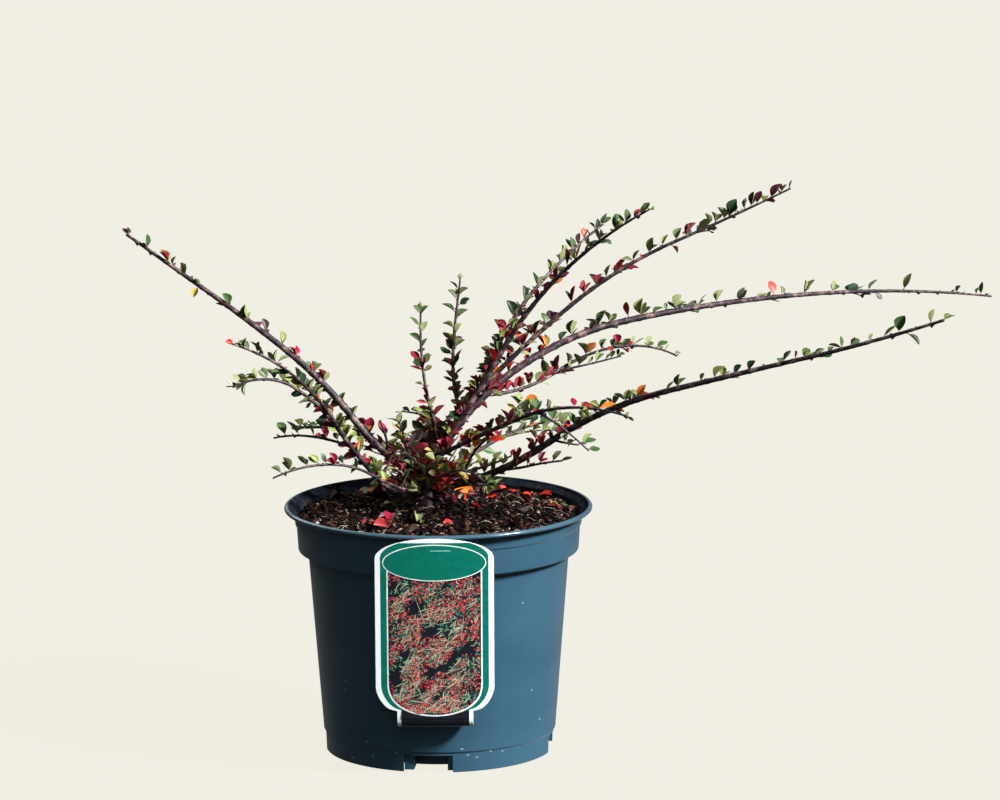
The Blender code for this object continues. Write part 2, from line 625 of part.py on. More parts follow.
class Spray:
    """One leafy mass: the rest of a shoot past its bough, with its twigs and leaves fused on."""

    def __init__(self, name, shoot, line, room):
        self.name = name
        self.shoot = shoot
        self.line = line
        self.room = room
        self.dice = random.Random("spray " + name)
        self.meshes = []
        self.leaves = 0

    def leaf(self, base, radius, way, face, length):
        """Fuse one leaf on, its root sunk in the wood, unless it would leave the room."""
        way = unit(way)
        root = base + way * (radius - LEAF_SINK * MM)
        points = leaf_points(root, way, face, length)
        if self.room.holds(self.name, points[1:]):
            self.meshes.append(mesh_of("leaf", points, LEAF_FACES))
            self.leaves += 1

    def twig(self, base, way, length, foot_r):
        """Fuse one three-sided twig on, and return its line, or nothing where it has no room."""
        way = unit(way)
        bend = np.array((0.0, 0.0, -TWIG_SAG)) * length
        shares = np.linspace(0, 1, 4)
        points = [base + way * length * s + bend * s * s for s in shares]
        line = Line(points, foot_r + (TWIG_TIP_R * MM - foot_r) * shares)
        if not self.room.holds(self.name, points[1:]):
            return None
        stations = line.stations(0.0, line.along[-1], length / 2 + 0.1 * MM)
        self.meshes.append(tube_mesh("twig", line, stations, 3))
        return line

    def leaf_way(self, tangent, side):
        """Which way a leaf points: forward along the shoot, out to one side, and up."""
        level = unit(np.cross(tangent, (0.0, 0.0, 1.0)))
        up = np.cross(level, tangent)
        spread = math.radians(LEAF_SPREAD + self.dice.uniform(-12, 12))
        lift = math.radians(LEAF_LIFT + self.dice.uniform(-22, 26))
        out = level * side * math.cos(lift) + up * math.sin(lift)
        way = tangent * math.cos(spread) + out * math.sin(spread)
        face = unit(up + tangent * self.dice.uniform(-0.7, 0.1) + level * self.dice.uniform(-0.5, 0.5))
        return way, face

    def ranked(self, line, start, end, step, size):
        """Single leaves along a line, left and right by turns, and one at the tip."""
        side = self.dice.choice((-1, 1))
        distance = start
        while distance < end:
            base, radius, tangent, _, _ = line.at(distance)
            way, face = self.leaf_way(unit(tangent), side)
            self.leaf(base, radius, way, face, size * self.dice.uniform(*LEAF_VARIES))
            side = -side
            distance += step * self.dice.uniform(0.88, 1.12)
        base, radius, tangent, _, _ = line.at(end)
        _, face = self.leaf_way(unit(tangent), side)
        self.leaf(base, 0.0, unit(tangent), face, size * 0.95)

    def tufts(self, start, end, step):
        """Short spurs along the stem, mostly on its upper side, each with three leaves."""
        side = self.dice.choice((-1, 1))
        distance = start
        size = LEAF_LONG * MM
        while distance < end:
            base, radius, tangent, _, _ = self.line.at(distance)
            way, _ = self.leaf_way(unit(tangent), side)
            spur = self.twig(base, way, radius + self.dice.uniform(*SPUR_LONG) * MM, TWIG_R * MM)
            if spur is not None:
                tip = spur.points[-1]
                for turn in (-1, 0, 1):
                    out, face = self.leaf_way(unit(tangent), side)
                    level = unit(np.cross(tangent, (0.0, 0.0, 1.0)))
                    out = unit(way + level * turn * SPUR_FAN + out * 0.35)
                    root = tip - unit(way) * TWIG_R * MM
                    self.leaf(root, 0.0, out, face, size * self.dice.uniform(*LEAF_VARIES))
            side = -side
            distance += step * self.dice.uniform(0.85, 1.15)

    def side_twigs(self, start, end):
        """Longer twigs that leave the stem to left and right, with leaves in two ranks."""
        for k in range(self.shoot.side_twigs):
            share = (k + 0.5) / self.shoot.side_twigs
            base, radius, tangent, _, _ = self.line.at(start + (end - start) * SIDE_TWIG_REACH * share)
            level = unit(np.cross(tangent, (0.0, 0.0, 1.0)))
            side = 1 if k % 2 else -1
            rise = np.array((0.0, 0.0, self.dice.uniform(0.0, 0.25)))
            long = self.dice.uniform(*SIDE_TWIG_LONG) * MM * (1.15 - 0.4 * share)
            twig = self.twig(base, unit(tangent) * 0.75 + level * side * 0.65 + rise, long, TWIG_R * MM)
            if twig is not None:
                first = radius + SIDE_TWIG_BARE * MM
                self.ranked(twig, first, twig.along[-1], TWIG_LEAF_STEP * MM, LEAF_LONG * 0.88 * MM)

    def build(self, finish):
        """Grow the stem, its twigs and leaves, and join them in one solid."""
        end = self.line.along[-1]
        start = end * self.shoot.bare + GAP
        stem = add_object("leaves_" + self.name, limb_tube(self.name, self.line, start, end), finish)
        first = start + 3.5 * MM
        if self.shoot.habit is Habit.TUFTED:
            turn = start + (end - start) * TUFTED_SHARE
            self.tufts(first, turn, TUFT_STEP * MM)
            self.ranked(self.line, turn, end, LEAF_STEP * MM, LEAF_LONG * MM)
        else:
            self.ranked(self.line, first, end, LEAF_STEP * MM, LEAF_LONG * MM)
        self.side_twigs(first, end)
        heap = bpy.data.collections.new("heap")
        bpy.context.scene.collection.children.link(heap)
        for mesh in self.meshes:
            add_object("piece", mesh, finish, heap)
        bpy.context.view_layer.update()
        stem_mesh = stem.data
        reach_before = reach(stem)
        for solver in ("EXACT", "MANIFOLD"):
            stem.data = stem_mesh.copy()
            apply_boolean(stem, "UNION", collection=heap, solver=solver)
            keep_largest_shell(stem)
            if closed(stem) and reach(stem) >= reach_before:
                break
        for piece in list(heap.objects):
            bpy.data.objects.remove(piece, do_unlink=True)
        bpy.data.collections.remove(heap)
        return stem


def main():
    """Build every solid of the plant and its pot."""
    clear_scene()
    centre = (POT_X, POT_Y)
    bark = material("bark", BARK, 0.75)
    green = material("green_leaves", LEAF_GREEN, 0.45)
    red = material("red_leaves", LEAF_RED, 0.45)
    build_pot(material("pot_plastic", POT_BLUE, 0.42), centre)
    build_soil(material("peat", PEAT, 0.95), centre)
    build_label(material("label_card", LABEL_GREEN, 0.35), centre)
    lines = grow_all(centre)
    build_trunk(lines["trunk"], bark)
    room = Room(lines, centre)
    for name, shoot in SHOOTS.items():
        if shoot.parent:
            build_bough(name, shoot, lines, bark)
            Spray(name, shoot, lines[name], room).build(red if shoot.red else green)


main()
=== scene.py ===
"""The looks of a potted wall cotoneaster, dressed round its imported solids.

The pot, soil, label, wood and leaves are each a class that grows its own meshes from named sizes.
Everything is in metres with +Z up, in the solids' own frame. Sizes written in millimetres carry
the factor MM where they are used."""

import json
import logging
import math
import random
from collections.abc import Callable
from dataclasses import dataclass, field
from enum import Enum
from operator import itemgetter

import bpy
import numpy as np
from mathutils import Matrix, Vector, noise

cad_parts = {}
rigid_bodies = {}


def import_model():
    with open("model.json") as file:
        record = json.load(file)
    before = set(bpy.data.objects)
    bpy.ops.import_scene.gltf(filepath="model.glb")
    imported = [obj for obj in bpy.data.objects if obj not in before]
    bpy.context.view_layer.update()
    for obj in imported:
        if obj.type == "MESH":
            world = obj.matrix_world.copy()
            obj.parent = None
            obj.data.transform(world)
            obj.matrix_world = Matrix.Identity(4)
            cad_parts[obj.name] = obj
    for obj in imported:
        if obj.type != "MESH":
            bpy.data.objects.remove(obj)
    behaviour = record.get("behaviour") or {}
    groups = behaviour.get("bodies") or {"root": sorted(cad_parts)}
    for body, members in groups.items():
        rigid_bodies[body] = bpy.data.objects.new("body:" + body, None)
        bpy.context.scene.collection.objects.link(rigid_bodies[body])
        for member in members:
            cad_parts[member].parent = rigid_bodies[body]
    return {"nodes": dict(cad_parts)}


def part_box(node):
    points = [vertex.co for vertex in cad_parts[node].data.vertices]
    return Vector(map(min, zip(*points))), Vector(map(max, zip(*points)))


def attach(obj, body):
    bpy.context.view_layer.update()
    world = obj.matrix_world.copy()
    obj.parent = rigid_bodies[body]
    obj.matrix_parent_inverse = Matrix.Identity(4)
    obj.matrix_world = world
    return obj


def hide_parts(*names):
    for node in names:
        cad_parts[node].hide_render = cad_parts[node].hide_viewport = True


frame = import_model()

MM = 0.001
LOG = logging.getLogger("cotoneaster")


class Habit(Enum):
    """How a shoot carries its leaves."""

    TUFTED = "short spurs of a few leaves, on older wood"
    RANKED = "single leaves, left and right by turns, on young wood"


class Tint(Enum):
    """The plain colours that leaves are dealt, each with the letter that stands for it below."""

    DEEP_GREEN = ("d", (0.012, 0.034, 0.014))
    GREEN = ("g", (0.048, 0.090, 0.026))
    OLIVE = ("o", (0.105, 0.110, 0.020))
    LIME = ("l", (0.190, 0.230, 0.060))
    YELLOW = ("y", (0.380, 0.280, 0.045))
    PALE = ("p", (0.220, 0.240, 0.120))
    ORANGE = ("n", (0.560, 0.150, 0.012))
    SCARLET = ("s", (0.500, 0.024, 0.012))
    CRIMSON = ("c", (0.200, 0.008, 0.026))
    BURGUNDY = ("b", (0.078, 0.009, 0.022))
    ROSE = ("r", (0.300, 0.036, 0.040))
    BROWN = ("w", (0.042, 0.018, 0.014))
    TAN = ("t", (0.330, 0.190, 0.110))

    @classmethod
    def of(cls, letter: str) -> "Tint":
        """The tint that a letter stands for."""
        return next(tint for tint in cls if tint.value[0] == letter)

    @property
    def colour(self) -> tuple[float, float, float]:
        """Its red, green and blue."""
        return self.value[1]

    @property
    def back(self) -> "Back":
        """The colour family of its leaves' undersides."""
        if self in (Tint.DEEP_GREEN, Tint.GREEN, Tint.OLIVE, Tint.LIME, Tint.PALE, Tint.YELLOW):
            return Back.GREEN
        return Back.DRY if self in (Tint.BROWN, Tint.TAN) else Back.RED


class Back(Enum):
    """Leaf undersides: duller and paler than the upper faces."""

    GREEN = ("green_leaves", (0.205, 0.235, 0.095))
    RED = ("red_leaves", (0.240, 0.030, 0.036))
    DRY = ("red_leaves", (0.026, 0.011, 0.011))


class Palette(Enum):
    """Which tints a stretch of shoot draws its leaves from, by letter; a repeat makes one likelier."""

    TIP = "ggggggdddddlllooc"
    MIXED = "ggggdddoollccsbn"
    AUTUMN = "ccccccbbbbsssnnroogg"
    FOOT = "cccccbbssnnlllypppgggoo"
    LITTER = "ssccnwwwwrbb"

    def draw(self, dice: random.Random) -> Tint:
        """One of its tints, drawn at random."""
        return Tint.of(dice.choice(self.value))


@dataclass(frozen=True)
class Shoot:
    """One limb from where it springs to its tip; lengths and radii are in millimetres.

    Heading is in degrees round from +X at the foot and the tip, and rises are degrees above level
    at even steps from foot to tip. Palettes are those of the shoot's foot, middle and tip.
    """

    parent: str
    at: float
    length: float
    heading: tuple[float, float]
    rises: tuple[float, ...]
    foot_r: float
    bare: float
    habit: Habit
    side_twigs: int = 0
    red: bool = False
    tip_r: float = 0.5
    palettes: tuple[Palette, ...] = (Palette.AUTUMN, Palette.MIXED, Palette.TIP)


TUFTED, RANKED = Habit.TUFTED, Habit.RANKED

# The same shoots as the solids have, each with its colours.
SHOOTS = {
    "trunk": Shoot("", 0.0, 18, (60, 60), (86, 86), 4.2, 1.0, TUFTED),
    "left_long": Shoot("trunk", 0.68, 220, (176, 158), (30, 52, 37, 32, 31), 2.2, 0.20, TUFTED, tip_r=0.8),
    "left_low": Shoot("trunk", 0.30, 149, (218, 196), (-2, 47, 55, 35, -26), 1.7, 0.28, TUFTED, 2, True),
    "left_upper": Shoot("left_low", 0.50, 104, (250, 205), (43, 39, 21), 1.1, 0.12, RANKED),
    "left_twig": Shoot("left_low", 0.42, 46, (185, 150), (25, 5, -17), 0.8, 0.20, RANKED),
    "left_hanging": Shoot("trunk", 0.42, 126, (252, 196), (8, 30, -22), 1.0, 0.30, RANKED, 0, True),
    "left_sprig": Shoot("left_long", 0.12, 22, (230, 200), (81, 67), 0.8, 0.35, RANKED, 0, True),
    "right_long": Shoot("trunk", 1.00, 360, (22, 10), (62, 33, 9, 4, -1, -8), 2.2, 0.15, TUFTED, 5),
    "right_upper": Shoot("right_long", 0.07, 181, (-8, -35), (59, 59, 42, 28), 1.7, 0.22, TUFTED, 3),
    "right_top": Shoot("right_upper", 0.20, 131, (30, 62), (69, 33, 11), 1.2, 0.10, RANKED, 2),
    "right_high": Shoot("right_upper", 0.15, 210, (5, -8), (46, 40, 24, 27), 1.4, 0.12, TUFTED, 3),
    "right_middle": Shoot("right_long", 0.15, 153, (35, 52), (-5, 21, -3, -24), 1.0, 0.12, RANKED, 2, True),
    "right_low": Shoot("trunk", 0.50, 328, (-32, -18), (12, 35, 17, 16, 20), 2.0, 0.18, TUFTED, 4,
                       tip_r=0.8),
    "right_inner": Shoot("right_long", 0.03, 154, (-50, -40), (26, 23, -8), 1.4, 0.22, TUFTED, 3, True),
    "right_thin": Shoot("right_low", 0.15, 44, (-45, -30), (9, 17, 10), 0.8, 0.25, RANKED, 0, True),
    "right_short": Shoot("trunk", 0.90, 50, (-10, -20), (5, 28), 1.0, 0.25, RANKED),
    "front_arch": Shoot("trunk", 0.95, 69, (-75, -45), (4, 23, -29), 0.8, 0.45, RANKED),
    "front_right": Shoot("right_short", 0.42, 43, (-75, -60), (46, 26), 0.8, 0.30, RANKED, 0, True),
    "front_left": Shoot("left_long", 0.05, 34, (255, 235), (69, 62), 0.9, 0.35, RANKED),
    "front_low": Shoot("trunk", 0.70, 48, (-110, -125), (50, 34, 12), 0.9, 0.25, RANKED, 0, True),
    "back_right": Shoot("right_long", 0.10, 82, (125, 40), (49, 71, 81), 1.1, 0.12, RANKED, 1),
    "back_left": Shoot("right_long", 0.05, 79, (150, 80), (60, 71, 76), 1.0, 0.20, RANKED, 1),
    "back_low": Shoot("trunk", 0.60, 112, (85, 100), (30, 14, -14), 1.2, 0.20, RANKED, 3),
    "back_low_left": Shoot("trunk", 0.60, 108, (128, 142), (30, 12, -12), 1.2, 0.20, RANKED, 3, True),
    "back_low_right": Shoot("trunk", 0.60, 112, (40, 48), (27, 14, -8), 1.2, 0.20, RANKED, 3, True),
}

# Forks that show in the photograph, finer than the solids' own: the shoot that each leaves, and the
# pixels of its 1000 x 800 frame where it leaves, bends and ends.
FORKS = {
    "middle_fork": ("right_middle", (560, 373), (585, 365), (621, 356)),
    "inner_droop": ("right_inner", (538, 415), (561, 427), (589, 451)),
    "inner_lift": ("right_inner", (508, 421), (517, 408), (529, 399)),
    "low_reach": ("right_low", (553, 440), (566, 443), (579, 445)),
    "low_lift": ("right_low", (531, 452), (541, 434), (553, 431)),
    "front_spray": ("front_low", (388, 486), (381, 477), (376, 465)),
    "foot_twig": ("left_hanging", (400, 489), (404, 476), (392, 468)),
    "heart_twig": ("back_low", (430, 478), (424, 462), (417, 448)),
}

# Tufts that show in the photograph: the pixel where one springs from its shoot, and its leaves,
# each as a tint's letter and the hour that it points to on a clock's face. A capital is a large
# leaf, a minus a small one and a plus a withered one twice as long.
TUFTS = {
    "left_long": (
        (127, 235, "-w11 -w1"), (148, 246, "-g10 g12 -g2"), (167, 262, "c11 o12 -o2"), (171, 264, "-w1"),
        (185, 275, "l12 o1 -o9"), (199, 285, "-g12 y6"), (228, 308, "G12 r9"), (248, 320, "G12 g11 -g1"),
        (266, 332, "w12"), (281, 345, "l12 -y2"), (296, 357, "s11 c1"), (292, 354, "g8"),
        (313, 373, "g11 d12 g2 -s12 -s1"), (322, 384, "w11 n12 o2"), (329, 392, "O10 O9"),
        (343, 404, "N8 d9 -c12 g1"), (357, 418, "o12 g1 O8"), (370, 434, "C1"), (378, 445, "-b8 -w2"),
        (390, 458, "c12 b9 -d1"), (401, 468, "b11 b1 c8")),
    "left_upper": (
        (233, 345, "-s10"), (243, 349, "-g11 -g1"), (249, 351, "g11"), (255, 353, "g1"), (261, 355, "G12"),
        (275, 362, "g11 g1"), (290, 373, "g11 G9"), (298, 379, "g12 o9"), (303, 385, "o9 d12 w10"),
        (309, 391, "g1 d12"), (316, 398, "d11 g2 -w9"), (325, 408, "g1 -o11")),
    "left_low": (
        (233, 388, "-g9 -p11"), (238, 388, "p12"), (246, 386, "d6 g7"), (249, 383, "g9 o10"),
        (256, 379, "d11 d1 p9"), (266, 378, "g11 g12"), (273, 378, "g12 d1"), (284, 384, "o1 g11"),
        (296, 391, "g12 o1"), (303, 396, "d9"), (312, 401, "o1 g9 -d7"), (325, 412, "w1 o10"),
        (331, 420, "g9 -l1"), (339, 426, "b10 B9"), (346, 436, "o1 l1"), (353, 443, "o1 b9"),
        (357, 452, "l1 -g2"), (357, 459, "C9 S1 c10"), (362, 467, "n12 d9"), (371, 470, "c12 l1 s11"),
        (384, 482, "c12 g12 o1"), (396, 488, "b12 w10 -n1")),
    "left_twig": (
        (284, 436, "G12"), (297, 434, "G12"), (312, 436, "d12"), (326, 438, "c12 -d10"), (336, 442, "-w12")),
    "left_hanging": (
        (281, 474, "g11"), (288, 471, "L12 g11"), (298, 468, "-g9"), (306, 466, "d11 -d12"),
        (318, 465, "l12 l11"), (325, 465, "d12"), (335, 466, "c12 c10"), (343, 467, "d11 d12"),
        (357, 471, "-o8 d12"), (372, 476, "g12 o1"), (385, 481, "l12 d9")),
    "left_sprig": ((384, 437, "C12"), (388, 446, "o2 -w10")),
    "back_left": (
        (423, 309, "-o12"), (423, 314, "g10 g2"), (421, 325, "g10"), (421, 332, "g1"), (420, 341, "g10"),
        (420, 347, "g1"), (420, 357, "c9"), (421, 363, "g1"), (420, 370, "c9 c1"), (423, 384, "-o9"),
        (428, 402, "r9 -w11"), (430, 409, "n9 d1"), (433, 416, "N8 o9"), (436, 414, "C2"),
        (438, 430, "c1 +w10"), (437, 436, "T12 t10 b9"), (440, 442, "c2 d9 +w11")),
    "back_right": (
        (460, 279, "-g12"), (459, 288, "g10"), (459, 293, "g2"), (458, 299, "g10"), (458, 303, "d2 -d3"),
        (457, 311, "G10"), (457, 317, "g2"), (456, 327, "g10"), (456, 333, "g2"), (455, 341, "l10 -g11"),
        (455, 347, "g2"), (454, 353, "g9 -d10"), (454, 359, "l2"), (454, 367, "r10 d1"), (453, 375, "d2"),
        (453, 383, "c10 d12"), (455, 390, "g2 d1 -d10"), (456, 399, "D12 d2"), (458, 409, "d11 -d1"),
        (461, 419, "c9 o2")),
    "right_top": (
        (602, 225, "g1 g12"), (596, 229, "d12 -g10"), (586, 240, "s11 l12"), (579, 246, "w12 -d1"),
        (573, 250, "d11 g12"), (566, 259, "d11 g12"), (562, 263, "l1 -g11"), (552, 272, "d11 d12 g1"),
        (549, 276, "-g1"), (540, 287, "D11 p1"), (537, 291, "-d9"), (528, 302, "D11"), (526, 305, "l1"),
        (515, 317, "D11 -d12 l1"), (510, 326, "-g1"), (505, 335, "R11 w1"), (501, 341, "g10 w2"),
        (495, 348, "-d10 d12"), (490, 360, "-g10 -b1")),
    "right_upper": (
        (647, 212, "-g12"), (641, 214, "g12 g2"), (634, 217, "r1"), (627, 221, "g12 g10"),
        (616, 230, "G11 l1"), (600, 241, "l12 d1 g11"), (604, 238, "-g4"), (592, 249, "l11 -g1"),
        (586, 255, "l1"), (577, 262, "N12 y11"), (571, 268, "B11"), (566, 272, "-l2"), (556, 281, "c12"),
        (552, 286, "n2 -s1"), (545, 293, "c12"), (537, 301, "c12"), (530, 312, "-c1"), (526, 319, "p1 -w11"),
        (521, 325, "s1"), (516, 333, "l12 o11"), (508, 345, "c12 -p1"), (501, 354, "g11 -b1"),
        (494, 364, "S11 -w1"), (488, 373, "s12 g10"), (483, 382, "b9 g12 b1"), (476, 396, "b10 -o1"),
        (468, 410, "c9 b2"), (461, 420, "d9 w2"), (487, 377, "-c12 -s2"), (481, 388, "c12 -b2 -r1"),
        (473, 402, "-s12 c2 b11"), (466, 413, "-c12 r2 -b9"), (459, 424, "c11 -s1")),
    "right_high": (
        (789, 187, "-w12"), (784, 193, "-o12 -l11"), (773, 199, "B12"), (768, 202, "-b4 -b3"),
        (759, 206, "b12"), (753, 208, "w11 D12"), (746, 210, "o12 -w11"), (738, 212, "d11 -d10"),
        (731, 215, "D12 d11"), (725, 217, "d11 l12"), (716, 220, "g11 l12"), (709, 223, "g11"),
        (699, 227, "l12 g1"), (686, 234, "B12 d11"), (676, 238, "p12 -w12"), (672, 241, "-r5"),
        (663, 244, "p12 -d11"), (650, 253, "L12 d1"), (636, 261, "g12 p9"), (618, 271, "S12 -d1"),
        (608, 278, "p12 -d11"), (597, 286, "b12 w10 w2"), (586, 294, "r12 s11 -d10"), (573, 302, "C12 d10"),
        (548, 325, "g11"), (537, 335, "d10 D12"), (524, 347, "c12 c9"), (517, 353, "d10 C9"),
        (508, 362, "c1 -w9"), (497, 373, "b12 b10")),
    "right_long": (
        (983, 295, "g11"), (978, 294, "-g12"), (957, 292, "-w1"), (905, 291, "L12"), (870, 291, "G12"),
        (876, 293, "-w5"), (834, 293, "g12 -g1 o11"), (805, 295, "l11 O12 -p1"), (776, 297, "S11"),
        (784, 297, "-o11"), (757, 299, "-d1"), (738, 302, "G12 d1"), (745, 301, "-w11 -d12"),
        (717, 304, "P12"), (699, 307, "d12 -w1"), (676, 311, "G12 l1 g10"), (667, 312, "-g11"),
        (641, 318, "L11 L12 g1"), (631, 320, "S11"), (652, 316, "g1"), (611, 326, "o11 -p12 g1"),
        (601, 329, "D10 G12"), (590, 332, "g1 -w12"), (573, 339, "G11 G12 o1"), (583, 335, "-r1"),
        (560, 343, "g12"), (549, 350, "B10 n11 l12"), (540, 355, "-w12 -s1"), (528, 362, "c12"),
        (510, 374, "s12 b11"), (497, 385, "b12 b1"), (487, 394, "w11 -c2"), (479, 401, "O11 -l9"),
        (470, 410, "L10 O12"), (463, 420, "d2 c9"), (456, 430, "b10 d2"), (450, 440, "c2 -w10"),
        (446, 448, "+w11 +w12 c10"), (441, 458, "+w10 y9 d2"), (490, 391, "-c8 s12 c3"),
        (484, 396, "c8 -s11 b3"), (476, 404, "-l10 c12 b4"), (468, 413, "s10 -b12 c3"), (460, 424, "c8 l12 -r3"),
        (453, 435, "b9 s12 c3")),
    "right_middle": (
        (674, 355, "-g2"), (665, 351, "-g1"), (657, 349, "g1"), (646, 348, "g1 -g2"), (634, 346, "g12 g1"),
        (619, 348, "-g1"), (612, 348, "-d12 g2"), (602, 350, "g12"), (605, 350, "-s3"), (587, 354, "N12 l11"),
        (571, 367, "p11 -r1"), (559, 374, "C12 b10 s11"), (553, 376, "c10 -g8"), (546, 379, "D12"),
        (532, 384, "C11 -d12"), (526, 386, "c10"), (516, 389, "S12 b10"), (507, 393, "b1 c12"),
        (498, 397, "w12 b1 -c9"), (488, 400, "c1 b11"), (542, 381, "-p4")),
    "middle_fork": (
        (571, 369, "-p12"), (580, 366, "o11 w1"), (589, 364, "-g1"), (598, 361, "g11 g1"), (606, 360, "-g1"),
        (612, 358, "-d12"), (619, 356, "-d12 -g2")),
    "right_inner": (
        (626, 416, "-d4"), (614, 412, "-g3"), (600, 409, "l10 N2 d1"), (595, 409, "-l9"), (580, 408, "r2 g5"), (549, 413, "-g11"), (541, 414, "g3"), (539, 414, "g11 p12"), (533, 415, "l12 p10"),
        (526, 417, "G12 d1"), (520, 418, "g11 p1"), (514, 419, "l12 l1"), (508, 421, "C12 c11"),
        (500, 424, "l12 p11"), (497, 426, "s12"), (491, 429, "g12 d10"), (484, 433, "n11 d1 s10"),
        (478, 436, "d12 s9"), (470, 442, "d10 o1"), (461, 447, "S5 d6"), (453, 456, "c11 b1")),
    "inner_lift": ((524, 401, "N3 p10"), (520, 404, "l10 -y12"), (513, 413, "y11 g2")),
    "inner_droop": (
        (556, 424, "g12"), (565, 429, "G12"), (569, 434, "-g8"), (577, 441, "-l9"), (583, 446, "g1 d12"),
        (589, 450, "g2 -g3")),
    "low_reach": ((578, 445, "-l2"), (566, 443, "-g12")),
    "low_lift": ((552, 431, "g2"), (545, 432, "g12 -g11"), (538, 438, "g10"), (534, 445, "r10")),
    "right_low": (
        (944, 321, "g2 -l1"), (932, 325, "P12"), (908, 331, "G5"), (900, 333, "G12"), (885, 337, "D12"),
        (869, 341, "-g12"), (852, 348, "-d12"), (846, 349, "g11 g9"), (805, 360, "-l12 -l1"), (798, 362, "-w11"),
        (786, 365, "d12"), (748, 372, "d1"), (733, 375, "d1"), (714, 379, "O12"), (701, 382, "-l12"),
        (678, 388, "g11 g1"), (665, 391, "d1"), (643, 401, "n12 o10"), (637, 403, "-d12"),
        (628, 406, "l12 d10 g1"), (617, 411, "l10 g1"), (609, 414, "N3 -y2"), (597, 417, "l12 g11"),
        (585, 425, "l1 p12"), (576, 429, "g11 g1"), (562, 435, "g12 -g5"), (550, 441, "-d12"),
        (541, 447, "r11 R12 y12 n1"), (531, 452, "C11 -o12"), (519, 459, "c12"), (513, 462, "l1 s12"),
        (505, 466, "d12 l10"), (497, 471, "l12 -w10"), (487, 477, "o12 b10"), (472, 484, "w12 -b2")),
    "right_thin": (
        (561, 461, "g2"), (554, 462, "g1 -g12"), (541, 464, "c12 -c1"), (529, 466, "c12 c11"), (518, 469, "-c12")),
    "right_short": (
        (512, 455, "-r2 -c12"), (497, 461, "d11 l12"), (484, 467, "O10 -o1"), (470, 471, "o12"),
        (458, 473, "L12 l11"), (448, 477, "g11 y12")),
    "front_right": ((488, 440, "S3 -b11"), (482, 443, "-w1"), (477, 450, "N11"), (480, 446, "-o2")),
    "front_arch": (
        (488, 484, "-l6 -l5 -l7"), (490, 484, "-g2 -l3 -g4 -l12"), (478, 476, "-w12"), (458, 472, "O5 y4"),
        (447, 473, "l12 g11 l10"), (440, 476, "y10 l12"), (434, 480, "y9 -y8 g7"), (452, 472, "s12 c1"),
        (443, 475, "s4 n7 -c9"), (437, 478, "r5 s7")),
    "front_left": (
        (400, 422, "g10 d12 -d1"), (403, 431, "o10 g1"), (405, 440, "O9 y1"), (408, 450, "d9 c1"), (409, 447, "+w2"), (411, 455, "+w1 +c2"),
        (411, 462, "b10 b1 c12"), (411, 470, "-w9 b2")),
    "front_spray": ((376, 466, "l12 g11"), (379, 473, "L1 d10"), (384, 480, "g1 o11")),
    "foot_twig": ((393, 468, "c11 b1"), (399, 472, "c12 -s1"), (404, 480, "w10 d1")),
    "heart_twig": ((417, 449, "c10 b12 w2"), (420, 456, "b10 c1"), (425, 464, "s11 c1 b9"), (430, 474, "d10 b2")),
    "trunk": (
        (434, 482, "s12 c10 b1"), (440, 480, "c12 s11 n1"), (428, 484, "c11 b9 y10"), (436, 490, "c5 b7 w4"),
        (432, 488, "w8 b7 o6 w5"), (444, 488, "c4 r3 w5 b6")),
}


def unit(vector: np.ndarray) -> np.ndarray:
    """The vector at length one."""
    return vector / np.linalg.norm(vector)


